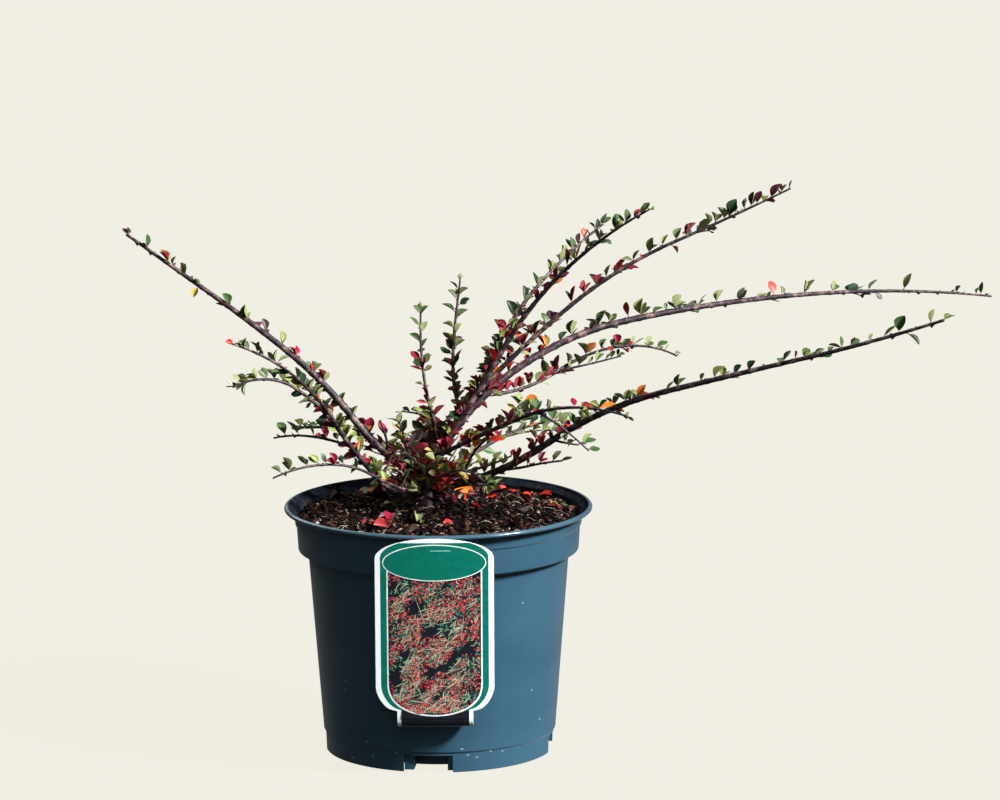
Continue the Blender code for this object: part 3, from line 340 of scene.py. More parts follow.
@dataclass(frozen=True)
class View:
    """The photograph's camera, which turns pixels of its 1000 x 800 frame into places, and back."""

    centre: tuple[float, float]
    distance: float = 3.5
    elevation: float = 10.86
    roll: float = -0.27
    lens: float = 229.1
    sensor: float = 36.0
    aim: tuple = (0.0343, 0.0, 0.1950)
    wide: int = 1000
    high: int = 800

    def axes(self) -> np.ndarray:
        """The camera's own directions.

        Returns:
            Three rows: to its right, upward and forward.
        """
        tilt, turn = math.radians(self.elevation), math.radians(self.roll)
        level, above = np.array((1.0, 0.0, 0.0)), np.array((0.0, math.sin(tilt), math.cos(tilt)))
        right = level * math.cos(turn) + above * math.sin(turn)
        upward = above * math.cos(turn) - level * math.sin(turn)
        return np.array((right, upward, (0.0, math.cos(tilt), -math.sin(tilt))))

    def eye(self) -> np.ndarray:
        """Where the camera stands."""
        target = np.array((self.centre[0] + self.aim[0], self.centre[1] + self.aim[1], self.aim[2]))
        return target - self.axes()[2] * self.distance

    def focal(self) -> float:
        """The lens's length, in pixels."""
        return self.lens / self.sensor * self.wide

    def project(self, points: np.ndarray) -> np.ndarray:
        """Where points fall in the picture.

        Args:
            points: one row for each point, in metres.

        Returns:
            One row for each: pixels from the left and from the top.
        """
        own = (points - self.eye()) @ self.axes().T
        right, upward, forward = own[:, 0], own[:, 1], own[:, 2]
        return np.stack((self.wide / 2 + self.focal() * right / forward,
                         self.high / 2 - self.focal() * upward / forward), axis=1)

    def ray(self, x: float, y: float) -> np.ndarray:
        """The way from the camera through a pixel."""
        across, down = (x - self.wide / 2) / self.focal(), (self.high / 2 - y) / self.focal()
        return np.array((across, down, 1.0)) @ self.axes()

    def beside(self, place: np.ndarray, x: float, y: float) -> np.ndarray:
        """The point as deep in the picture as a place, under a pixel.

        Args:
            place: the place, in metres.
            x: pixels from the left.
            y: pixels from the top.

        Returns:
            The point, in metres.
        """
        depth = (place - self.eye()) @ self.axes()[2]
        return self.eye() + self.ray(x, y) * depth

    def on_wall(self, x: float, y: float, radius_at: Callable[[float], float]) -> np.ndarray:
        """The point on a turned wall round the axis under a pixel, on the camera's side.

        Args:
            x: pixels from the left.
            y: pixels from the top.
            radius_at: gives the wall's radius at a height, both in metres.

        Returns:
            The point, in metres.
        """
        way, spot = self.ray(x, y), np.zeros(3)
        start = self.eye() - np.array((*self.centre, 0.0))
        for _ in range(6):
            a, b = way[0] ** 2 + way[1] ** 2, start[0] * way[0] + start[1] * way[1]
            c = start[0] ** 2 + start[1] ** 2 - radius_at(spot[2]) ** 2
            spot = start + way * (-b - math.sqrt(max(0.0, b * b - a * c))) / a
        return spot + np.array((*self.centre, 0.0))

    def on_level(self, x: float, y: float, height: float) -> np.ndarray:
        """The point at a height under a pixel.

        Args:
            x: pixels from the left.
            y: pixels from the top.
            height: metres over the ground.

        Returns:
            The point, in metres.
        """
        way = self.ray(x, y)
        return self.eye() + way * (height - self.eye()[2]) / way[2]


class Line:
    """A limb's centre line: its points, radii and the two cross directions at each point."""

    def __init__(self, points: list, radii: np.ndarray) -> None:
        """Measure a line.

        Args:
            points: the line's points, foot first.
            radii: the limb's radius at each point.
        """
        self.points = np.array(points)
        self.radii = np.array(radii)
        lengths = np.linalg.norm(np.diff(self.points, axis=0), axis=1)
        self.along = np.concatenate([[0.0], np.cumsum(lengths)])
        tangents = np.gradient(self.points, axis=0)
        self.tangents = tangents / np.linalg.norm(tangents, axis=1)[:, None]
        upright = abs(self.tangents[0][1]) < 0.8
        sides = [unit(np.cross(self.tangents[0], (0.0, 1.0, 0.0) if upright else (1.0, 0.0, 0.0)))]
        for tangent in self.tangents[1:]:
            sides.append(unit(sides[-1] - tangent * np.dot(sides[-1], tangent)))
        self.sides = np.array(sides)
        self.crosses = np.cross(self.tangents, self.sides)

    def read(self, values: np.ndarray, distance: float) -> np.ndarray:
        """A column of values at a distance along the line."""
        return np.array([np.interp(distance, self.along, column) for column in values.T])

    def at(self, distance: float) -> tuple[np.ndarray, float, np.ndarray]:
        """The centre, radius and direction at a distance.

        Args:
            distance: metres along the line from its foot.

        Returns:
            The point on the line, the radius there and the unit tangent.
        """
        radius = float(np.interp(distance, self.along, self.radii))
        return self.read(self.points, distance), radius, unit(self.read(self.tangents, distance))


class Heap:
    """Points and faces gathered for one piece."""

    def __init__(self) -> None:
        """Start with nothing."""
        self.points: list[np.ndarray] = []
        self.faces: list[tuple[int, ...]] = []
        self.count = 0

    def add(self, points: np.ndarray, faces: list[tuple[int, ...]]) -> None:
        """Put one more shape on the heap.

        Args:
            points: the shape's corners, one row each.
            faces: its faces, as numbers of those rows.
        """
        start = self.count
        self.points.append(points)
        self.faces.extend(tuple(start + k for k in face) for face in faces)
        self.count += len(points)

    def piece(self, name: str, finish: bpy.types.Material, slot: str, replaces: tuple = (),
              sharp: float = 180.0) -> bpy.types.Object:
        """Make the heap one object that rides with the plant.

        Args:
            name: the piece's name.
            finish: its material.
            slot: the record's slot for that material; not used.
            replaces: the solids that it stands for.
            sharp: edges that turn by more degrees than this stay sharp.

        Returns:
            The new object.
        """
        mesh = bpy.data.meshes.new(name)
        mesh.from_pydata(np.concatenate(self.points).tolist(), [], self.faces)
        mesh.materials.append(finish)
        mesh.shade_smooth()
        if sharp < 180.0:
            mesh.set_sharp_from_angle(angle=math.radians(sharp))
        made = bpy.data.objects.new(name, mesh)
        bpy.context.scene.collection.objects.link(made)
        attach(made, "root")
        if replaces:
            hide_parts(*replaces)
        LOG.info("%s: %d faces", name, len(self.faces))
        return made


def ring_faces(rings: int, sides: int) -> list[tuple[int, ...]]:
    """The side faces of a stack of rings.

    Args:
        rings: how many rings there are.
        sides: how many points each ring has.

    Returns:
        Four-sided faces, turned outward where the rings run up and round to the left.
    """
    faces = []
    for ring in range(rings - 1):
        for k in range(sides):
            a = ring * sides + k
            b = ring * sides + (k + 1) % sides
            faces.append((a, b, b + sides, a + sides))
    return faces


class Wiring:
    """A material's node tree, with short calls that add and join its nodes."""

    def __init__(self, name: str, roughness: float, metallic: float = 0.0) -> None:
        """Start a Principled material.

        Args:
            name: the material's name.
            roughness: how dull it is.
            metallic: how metallic it is.
        """
        self.material = bpy.data.materials.new(name)
        self.material.use_nodes = True
        self.tree = self.material.node_tree
        self.shader = self.tree.nodes["Principled BSDF"]
        self.shader.inputs["Roughness"].default_value = roughness
        self.shader.inputs["Metallic"].default_value = metallic
        self.coordinates = self.tree.nodes.new("ShaderNodeTexCoord").outputs["Object"]

    def set(self, socket: str, value: float | tuple) -> None:
        """Set a plain value on the shader."""
        self.shader.inputs[socket].default_value = value

    def join(self, output: bpy.types.NodeSocket, socket: str) -> None:
        """Wire an output to one of the shader's sockets."""
        self.tree.links.new(output, self.shader.inputs[socket])

    def noise(self, scale: float, detail: float = 4.0, rough: float = 0.55,
              stretch: tuple = (1.0, 1.0, 1.0)) -> bpy.types.NodeSocket:
        """A noise pattern.

        Args:
            scale: how many blotches fit in a metre.
            detail: how many finer layers it has.
            rough: how strong those layers are.
            stretch: how often the pattern repeats along X, Y and Z.

        Returns:
            The pattern's output, from 0 to 1.
        """
        mapping = self.tree.nodes.new("ShaderNodeMapping")
        mapping.inputs["Scale"].default_value = stretch
        self.tree.links.new(self.coordinates, mapping.inputs["Vector"])
        pattern = self.tree.nodes.new("ShaderNodeTexNoise")
        pattern.inputs["Scale"].default_value = scale
        pattern.inputs["Detail"].default_value = detail
        pattern.inputs["Roughness"].default_value = rough
        self.tree.links.new(mapping.outputs["Vector"], pattern.inputs["Vector"])
        return pattern.outputs[0]

    def ramp(self, factor: bpy.types.NodeSocket, stops: tuple) -> bpy.types.NodeSocket:
        """Colours read off a pattern.

        Args:
            factor: the pattern.
            stops: pairs of place and colour, lowest place first.

        Returns:
            The colour output.
        """
        node = self.tree.nodes.new("ShaderNodeValToRGB")
        band = node.color_ramp
        while len(band.elements) < len(stops):
            band.elements.new(0.5)
        for element, (place, colour) in zip(band.elements, stops):
            element.position = place
            element.color = (*colour, 1.0)
        self.tree.links.new(factor, node.inputs[0])
        return node.outputs["Color"]

    def spread(self, factor: bpy.types.NodeSocket, low: float, high: float) -> bpy.types.NodeSocket:
        """The pattern, stretched to run from one value to another.

        Args:
            factor: the pattern.
            low: what 0 becomes.
            high: what 1 becomes.

        Returns:
            The stretched output.
        """
        node = self.tree.nodes.new("ShaderNodeMapRange")
        node.inputs["To Min"].default_value = low
        node.inputs["To Max"].default_value = high
        self.tree.links.new(factor, node.inputs["Value"])
        return node.outputs["Result"]

    def bump(self, height: bpy.types.NodeSocket, distance: float, strength: float = 1.0) -> None:
        """Raise the surface by a pattern.

        Args:
            height: the pattern.
            distance: how high its crests are, in metres.
            strength: how much of it shows.
        """
        node = self.tree.nodes.new("ShaderNodeBump")
        node.inputs["Strength"].default_value = strength
        node.inputs["Distance"].default_value = distance
        self.tree.links.new(height, node.inputs["Height"])
        self.join(node.outputs["Normal"], "Normal")


@dataclass(frozen=True)
class PotPlastic:
    """Moulded petrol-blue plastic with a faint flow pattern, dulled patches and a bloom at its edges."""

    name: str = "pot_plastic"
    dark: tuple = (0.020, 0.064, 0.103)
    light: tuple = (0.033, 0.089, 0.134)
    blotches: float = 9.0
    stops: tuple = (0.3, 0.72)
    dull: tuple = (0.28, 0.44)
    shine: float = 0.5
    sheen: float = 0.19

    def dress(self) -> bpy.types.Material:
        """Make the material.

        Returns:
            The material.
        """
        wiring = Wiring(self.name, self.dull[0])
        flow = wiring.noise(self.blotches, 5.0, 0.6, (1.0, 1.0, 2.5))
        wiring.join(wiring.ramp(flow, tuple(zip(self.stops, (self.dark, self.light)))), "Base Color")
        wiring.join(wiring.spread(wiring.noise(60.0, 4.0), *self.dull), "Roughness")
        wiring.set("Specular IOR Level", self.shine)
        wiring.set("Sheen Weight", self.sheen)
        wiring.set("Sheen Roughness", 0.35)
        wiring.bump(wiring.noise(900.0, 3.0, 0.6, (1.0, 1.0, 0.35)), 0.00005, 0.5)
        return wiring.material


POT_SKIN = PotPlastic()
# The lip: a lighter blue that is a painted highlight along its edge, with a lower roughness for its gloss.
POT_LIP_HIGHLIGHT = PotPlastic("pot_lip_painted_highlight", (0.036, 0.084, 0.116), (0.040, 0.090, 0.122), dull=(0.16, 0.20))
# The inside: a near-black colour that is painted shade inside the rim, with paler blotches of dust.
POT_INSIDE_SHADE_AND_DUST = PotPlastic("pot_inside_painted_shade_and_dust", (0.003, 0.006, 0.012), (0.017, 0.017, 0.019), 150.0,
                        (0.45, 0.62), (0.85, 0.95), 0.05, 0.0)


@dataclass(frozen=True)
class Peat:
    """Moist peat: brown-black crumbs with paler fibres."""

    wet: tuple = (0.001, 0.001, 0.001)
    brown: tuple = (0.008, 0.004, 0.003)
    dry: tuple = (0.085, 0.044, 0.032)

    def dress(self, name: str = "peat") -> bpy.types.Material:
        """Make the material.

        Args:
            name: the material's name.

        Returns:
            The material.
        """
        wiring = Wiring(name, 0.95)
        wiring.set("Specular IOR Level", 0.1)
        crumbs = wiring.noise(420.0, 6.0, 0.7)
        stops = ((0.38, self.wet), (0.56, self.brown), (0.74, self.dry))
        wiring.join(wiring.ramp(crumbs, stops), "Base Color")
        wiring.bump(wiring.noise(700.0, 6.0, 0.75), 0.0012)
        return wiring.material


@dataclass(frozen=True)
class Bark:
    """Thin young bark: purple-brown skin with grey scurf along the shoot."""

    name: str = "bark"
    deep: tuple = (0.012, 0.007, 0.012)
    skin: tuple = (0.040, 0.022, 0.028)
    scurf: tuple = (0.270, 0.175, 0.155)

    def dress(self) -> bpy.types.Material:
        """Make the material."""
        wiring = Wiring(self.name, 0.5)
        wiring.set("Specular IOR Level", 0.3)
        streaks = wiring.noise(190.0, 6.0, 0.7)
        stops = ((0.38, self.deep), (0.52, self.skin), (0.68, self.scurf))
        wiring.join(wiring.ramp(streaks, stops), "Base Color")
        wiring.join(wiring.spread(wiring.noise(500.0, 3.0), 0.38, 0.62), "Roughness")
        wiring.bump(wiring.noise(1100.0, 4.0, 0.7), 0.0002)
        return wiring.material


@dataclass(frozen=True)
class LeafGloss:
    """A leaf's waxy skin in one plain colour."""

    name: str
    colour: tuple[float, float, float]
    roughness: float = 0.42
    shine: float = 0.26

    def dress(self) -> bpy.types.Material:
        """Make the material."""
        wiring = Wiring(self.name, self.roughness)
        wiring.set("Base Color", (*self.colour, 1.0))
        wiring.set("Specular IOR Level", self.shine)
        wiring.bump(wiring.noise(900.0, 3.0), 0.00015, 0.5)
        return wiring.material


@dataclass(frozen=True)
class Ink:
    """Printed card: one colour with a faint mottle under a film."""

    name: str
    colour: tuple
    mottle: float = 0.12
    roughness: float = 0.32

    def dress(self) -> bpy.types.Material:
        """Make the material."""
        wiring = Wiring(self.name, self.roughness)
        low = tuple(c * (1 - self.mottle) for c in self.colour)
        high = tuple(min(1.0, c * (1 + self.mottle)) for c in self.colour)
        wiring.join(wiring.ramp(wiring.noise(300.0), ((0.35, low), (0.65, high))), "Base Color")
        return wiring.material


@dataclass
class Pot:
    """The nursery pot: thin turned walls with rounded edges, and notches cut in its foot.

    The profile's sizes are in millimetres, the same as the solid's.
    """

    rim_r: float = 85.0
    rim_z: float = 136.6
    lip_depth: float = 2.2
    lip_top: float = 1.6
    collar_top_r: float = 79.6
    collar_step_r: float = 79.0
    collar_step_z: float = 126.7
    collar_foot_r: float = 77.4
    collar_foot_z: float = 112.6
    wall_top_r: float = 71.9
    wall_top_z: float = 110.4
    wall_foot_r: float = 64.2
    foot_r: float = 63.0
    foot_band_z: float = 11.0
    foot_ring: float = 1.8
    wall: float = 1.3
    floor_z: float = 8.6
    floor: float = 1.6
    band_proud: float = 0.4
    step: float = 0.5
    edge: float = 0.8
    pad_r: float = 48.0
    pad_z: float = 0.8
    ribs: tuple = ((-10.6, 5.2), (12.2, 3.4))
    rib_set: float = 3.0
    notch_wide: float = 27.0
    notch_high: float = 9.6
    notch_turn: float = -95.4
    notches: int = 4
    sides: int = 180
    round_off: float = 0.45
    corner_steps: int = 3
    shaded_inside_z: float = 112.0
    lip_highlight_z: float = 135.2
    centre: tuple = field(init=False)

    def __post_init__(self) -> None:
        """Read the pot's axis off its solid."""
        low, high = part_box("pot")
        self.centre = ((low.x + high.x) / 2, (low.y + high.y) / 2)

    def profile(self) -> list[tuple[float, float]]:
        """The wall's outline, from under the floor, up the outside, over the lip and down inside.

        Returns:
            Pairs of radius and height, in millimetres.
        """
        under = [(self.pad_r - self.step, self.pad_z), (self.pad_r, self.floor_z),
                 (self.wall_foot_r - 2 * self.wall, self.floor_z), (self.foot_r - self.foot_ring, 0.0)]
        lip_z = self.rim_z - self.lip_depth
        outside = [(self.foot_r, 0.0), (self.foot_r + self.band_proud, self.foot_band_z),
                   (self.wall_foot_r, self.foot_band_z + self.step), (self.wall_top_r, self.wall_top_z),
                   (self.collar_foot_r, self.collar_foot_z),
                   (self.collar_step_r - self.edge, self.collar_step_z - self.step),
                   (self.collar_step_r, self.collar_step_z), (self.collar_top_r, lip_z),
                   (self.rim_r - self.edge, lip_z - self.step / 2), (self.rim_r, lip_z + self.step),
                   (self.rim_r, self.rim_z - self.edge), (self.rim_r - self.edge, self.rim_z)]
        rim_r = self.rim_r - self.edge - self.lip_top
        lip = [(rim_r, self.rim_z), (rim_r - self.step, self.rim_z - 2 * self.step)]
        floor_top = self.floor_z + self.floor
        inside = [(self.collar_top_r - self.wall, lip_z - self.edge),
                  (self.collar_step_r - self.edge - self.wall, self.collar_step_z),
                  (self.collar_foot_r - self.wall + self.step / 2, self.collar_foot_z + self.step),
                  (self.wall_top_r - self.wall, self.wall_top_z + self.step),
                  (self.wall_foot_r - self.wall, floor_top), (self.pad_r - self.wall, floor_top),
                  (self.pad_r - self.wall, self.pad_z + self.floor)]
        return under + outside + lip + inside

    def rounded(self) -> list[tuple[float, float]]:
        """The outline with each corner eased by a short arc.

        Returns:
            Pairs of radius and height, in millimetres.
        """
        points = [np.array(point) for point in self.profile()]
        smooth = [points[0]]
        for before, corner, after in zip(points, points[1:], points[2:]):
            reach = min(self.round_off, 0.45 * np.linalg.norm(before - corner),
                        0.45 * np.linalg.norm(after - corner))
            start = corner + unit(before - corner) * reach
            end = corner + unit(after - corner) * reach
            for k in range(self.corner_steps + 1):
                share = k / self.corner_steps
                smooth.append((1 - share) ** 2 * start + 2 * share * (1 - share) * corner + share ** 2 * end)
        smooth.append(points[-1])
        return [tuple(point) for point in smooth]

    def cut_notches(self, wall: bpy.types.Object) -> None:
        """Cut the drain notches out of the foot.

        Args:
            wall: the pot's mesh, which is changed.
        """
        for k in range(self.notches):
            angle = math.radians(self.notch_turn + 360 / self.notches * k)
            bpy.ops.mesh.primitive_cube_add(size=1.0)
            cutter = bpy.context.object
            cutter.scale = (12 * MM, self.notch_wide * MM, 2 * self.notch_high * MM)
            cutter.rotation_euler = (0.0, 0.0, angle)
            reach = self.foot_r * MM
            cutter.location = (self.centre[0] + reach * math.cos(angle),
                               self.centre[1] + reach * math.sin(angle), 0.0)
            bpy.context.view_layer.update()
            cut = wall.modifiers.new("notch", "BOOLEAN")
            cut.operation = "DIFFERENCE"
            cut.object = cutter
            graph = bpy.context.evaluated_depsgraph_get()
            mesh = bpy.data.meshes.new_from_object(wall.evaluated_get(graph))
            wall.modifiers.clear()
            wall.data = mesh
            bpy.data.objects.remove(cutter, do_unlink=True)

    def paint(self, wall: bpy.types.Object) -> None:
        """Give the lip its painted highlight, and the inside its painted shade and dust, as finishes of their own.

        Args:
            wall: the pot's mesh, which is changed.
        """
        wall.data.materials.append(POT_LIP_HIGHLIGHT.dress())
        wall.data.materials.append(POT_INSIDE_SHADE_AND_DUST.dress())
        for face in wall.data.polygons:
            inward = face.normal.xy.dot(face.center.xy - Vector(self.centre)) < 0.0
            # Inward faces above this height get the inside's painted shade and dust.
            if inward and face.center.z > self.shaded_inside_z * MM:
                face.material_index = 2
            # Faces on the lip get its painted highlight.
            elif face.center.z > self.lip_highlight_z * MM:
                face.material_index = 1

    def rib_blocks(self) -> bpy.types.Object:
        """The short ribs under the floor, two to each notch, from the pad nearly to the wall.

        Returns:
            The ribs' piece.
        """
        heap = Heap()
        near, far = self.pad_r - 2 * self.step, self.foot_r - self.rib_set
        low, high = self.pad_z, self.floor_z + self.floor / 2
        for k in range(self.notches):
            angle = math.radians(self.notch_turn + 360 / self.notches * k)
            out = np.array((math.cos(angle), math.sin(angle), 0.0))
            aside = np.array((-out[1], out[0], 0.0))
            for middle, wide in self.ribs:
                points = []
                for height in (low, high):
                    for reach, turn in ((near, -1), (far, -1), (far, 1), (near, 1)):
                        spot = out * reach + aside * (middle + turn * wide / 2)
                        points.append(((spot[0] * MM) + self.centre[0], (spot[1] * MM) + self.centre[1],
                                       height * MM))
                heap.add(np.array(points), ring_faces(2, 4) + [(3, 2, 1, 0), (4, 5, 6, 7)])
        return heap.piece("pot_ribs", POT_SKIN.dress(), "pot_plastic", sharp=30.0)

    def build(self) -> bpy.types.Object:
        """Turn the pot and cut its notches.

        Returns:
            The pot's piece.
        """
        outline = self.rounded()
        points = []
        for radius, height in outline:
            for k in range(self.sides):
                angle = 2 * math.pi * k / self.sides
                points.append((self.centre[0] + radius * MM * math.cos(angle),
                               self.centre[1] + radius * MM * math.sin(angle), height * MM))
        faces = ring_faces(len(outline), self.sides)
        last = (len(outline) - 1) * self.sides
        faces.append(tuple(reversed(range(self.sides))))
        faces.append(tuple(range(last, last + self.sides)))
        heap = Heap()
        heap.add(np.array(points), faces)
        made = heap.piece("pot_wall", POT_SKIN.dress(), "pot_plastic", ("pot",), sharp=50.0)
        self.paint(made)
        self.cut_notches(made)
        made.data.shade_smooth()
        made.data.set_sharp_from_angle(angle=math.radians(50.0))
        self.rib_blocks()
        return made


@dataclass
class Scuffs:
    """Pale scratches and dark nicks on the pot's wall, where the photograph shows them.

    Each is a run of pixels, from one end to the other. Widths and depths are in millimetres.
    """

    view: View
    pot: Pot
    pale: tuple = ((380, 750, 386, 744), (395, 753, 397, 753), (461, 749, 463, 749), (467, 755, 469, 755),
                   (476, 757, 478, 757), (490, 751, 503, 751), (345, 680, 346, 682), (344, 688, 345, 690),
                   (333, 751, 335, 756), (340, 746, 341, 749), (351, 757, 354, 758), (366, 742, 368, 741),
                   (372, 756, 374, 757), (531, 690, 532, 690), (539, 719, 540, 719), (522, 603, 523, 603))
    nicks: tuple = ((501, 553, 503, 555), (518, 553, 520, 555), (548, 667, 549, 667), (512, 571, 513, 571))
    wide: float = 0.45
    lift: float = 0.04

    def marks(self, name: str, runs: tuple, colour: tuple) -> None:
        """Lay marks of one colour on the wall.

        Args:
            name: the piece's name.
            runs: the marks' ends.
            colour: their colour.
        """
        wall = [row for row in self.pot.profile() if row[0] >= self.pot.foot_r]
        radii, heights = zip(*sorted(wall, key=itemgetter(1)))
        heap = Heap()
        for x0, y0, x1, y1 in runs:
            ends = []
            for x, y in ((x0, y0), (x1, y1)):
                ends.append(self.view.on_wall(x, y, lambda z: float(np.interp(z / MM, heights, radii)) * MM))
            middle = (ends[0] + ends[1]) / 2 - np.array((*self.view.centre, 0.0))
            out = unit(middle * (1.0, 1.0, 0.0))
            aside = unit(np.cross(out, ends[1] - ends[0])) * self.wide / 2 * MM
            along = unit(ends[1] - ends[0]) * self.wide / 2 * MM
            raised = out * self.lift * MM
            corners = (ends[0] - along + raised, ends[0] - aside + raised, ends[1] - aside + raised,
                       ends[1] + along + raised, ends[1] + aside + raised, ends[0] + aside + raised)
            heap.add(np.array(corners), [tuple(range(6))])
        heap.piece(name, Ink(name, colour).dress(), "pot_plastic")

    def build(self) -> None:
        """Lay both kinds of marks."""
        self.marks("pot_scuffs", self.pale, (0.30, 0.38, 0.42))
        self.marks("pot_nicks", self.nicks, (0.006, 0.012, 0.020))


@dataclass
class Soil:
    """Peat in the pot, heaped a little round the trunk, with crumbs and chips on it."""

    edge_r: float = 76.6
    edge_z: float = 131.0
    top_z: float = 133.0
    ruffle: float = 2.3
    rings: int = 60
    sides: int = 150
    skirt: tuple = ((75.4, 114.0), (70.0, 110.4), (62.2, 11.2))
    crumbs: int = 1500
    chips: int = 420
    splinters: int = 260
    centre: tuple = field(init=False)

    def __post_init__(self) -> None:
        """Read the pot's axis off its solid."""
        low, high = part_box("pot")
        self.centre = ((low.x + high.x) / 2, (low.y + high.y) / 2)

    def height(self, x: float, y: float) -> float:
        """How high the soil lies.

        Args:
            x: metres from the pot's axis.
            y: metres from the pot's axis.

        Returns:
            The height over the ground, in metres.
        """
        reach = math.hypot(x, y) / (self.edge_r * MM)
        mound = self.edge_z + (self.top_z - self.edge_z) * (1 - reach ** 1.6)
        rough = noise.noise((x * 70, y * 70, 0.3)) + 0.6 * noise.noise((x * 210, y * 210, 4.1))
        return (mound + self.ruffle * rough * (1 - reach ** 8) - 0.4) * MM

    def bed(self) -> bpy.types.Object:
        """The soil's surface, closed by a skirt down to the pot's floor.

        Returns:
            The bed's piece.
        """
        points = [(self.centre[0], self.centre[1], self.height(0.0, 0.0))]
        for ring in range(1, self.rings + 1):
            reach = self.edge_r * MM * ring / self.rings
            for k in range(self.sides):
                angle = 2 * math.pi * k / self.sides
                x, y = reach * math.cos(angle), reach * math.sin(angle)
                points.append((self.centre[0] + x, self.centre[1] + y, self.height(x, y)))
        for radius, height in self.skirt:
            for k in range(self.sides):
                angle = 2 * math.pi * k / self.sides
                points.append((self.centre[0] + radius * MM * math.cos(angle),
                               self.centre[1] + radius * MM * math.sin(angle), height * MM))
        faces = [(0, 1 + k, 1 + (k + 1) % self.sides) for k in range(self.sides)]
        rings = self.rings + len(self.skirt)
        for ring in range(rings - 1):
            for k in range(self.sides):
                a = 1 + ring * self.sides + k
                b = 1 + ring * self.sides + (k + 1) % self.sides
                faces.append((a, a + self.sides, b + self.sides, b))
        last = 1 + (rings - 1) * self.sides
        faces.append(tuple(reversed(range(last, last + self.sides))))
        heap = Heap()
        heap.add(np.array(points), faces)
        return heap.piece("soil_bed", Peat().dress(), "peat", ("soil",))

    def lump(self, dice: random.Random, place: np.ndarray, size: np.ndarray) -> tuple[np.ndarray, list]:
        """A crumb: an eight-sided lump with uneven corners.

        Args:
            dice: the draw that makes each crumb its own.
            place: its middle.
            size: its half sizes, before it is turned.

        Returns:
            Its points and faces.
        """
        corners = np.array([(1, 0, 0), (-1, 0, 0), (0, 1, 0), (0, -1, 0), (0, 0, 1), (0, 0, -1)], float)
        corners = corners * size * np.array([[dice.uniform(0.7, 1.2)] for _ in range(6)])
        turn = np.array(Matrix.Rotation(dice.uniform(0, math.tau), 3, "Z")
                        @ Matrix.Rotation(dice.uniform(-0.6, 0.6), 3, "X")
                        @ Matrix.Rotation(dice.uniform(-0.7, 0.7), 3, "Y"))
        faces = [(0, 2, 4), (2, 1, 4), (1, 3, 4), (3, 0, 4), (2, 0, 5), (1, 2, 5), (3, 1, 5), (0, 3, 5)]
        return corners @ turn.T + place, faces

    def scatter(self, name: str, count: int, sizes: tuple, flat: float, lift: float,
                finish: bpy.types.Material) -> bpy.types.Object:
        """Strew lumps over the bed.

        Args:
            name: the piece's name.
            count: how many lumps.
            sizes: the smallest and largest half length, in millimetres.
            flat: the height as a share of the length.
            lift: how far the lumps lie over the bed, in millimetres.
            finish: the material.

        Returns:
            The lumps as one piece.
        """
        dice = random.Random("soil " + name)
        heap = Heap()
        for _ in range(count):
            reach = self.edge_r * MM * math.sqrt(dice.uniform(0.0, 0.94))
            angle = dice.uniform(0, math.tau)
            x, y = reach * math.cos(angle), reach * math.sin(angle)
            long = dice.uniform(*sizes) * MM
            size = np.array((long, long * dice.uniform(0.35, 0.9), long * flat))
            top = self.height(x, y) + size[2] * 0.4 + lift * MM
            place = np.array((self.centre[0] + x, self.centre[1] + y, top))
            heap.add(*self.lump(dice, place, size))
        return heap.piece(name, finish, "peat")

    def build(self) -> None:
        """Lay the bed and strew it."""
        self.bed()
        self.scatter("soil_crumbs", self.crumbs, (0.7, 3.0), 0.7, 0.0,
                     Peat().dress("peat_crumbs"))
        red = Peat((0.018, 0.006, 0.005), (0.075, 0.028, 0.022), (0.38, 0.23, 0.19))
        self.scatter("soil_chips", self.chips, (0.9, 4.2), 0.22, 1.0, red.dress("bark_chips"))
        pale = Peat((0.10, 0.06, 0.05), (0.44, 0.34, 0.28), (0.80, 0.70, 0.62))
        self.scatter("soil_splinters", self.splinters, (0.5, 1.9), 0.3, 1.2, pale.dress("pale_splinters"))


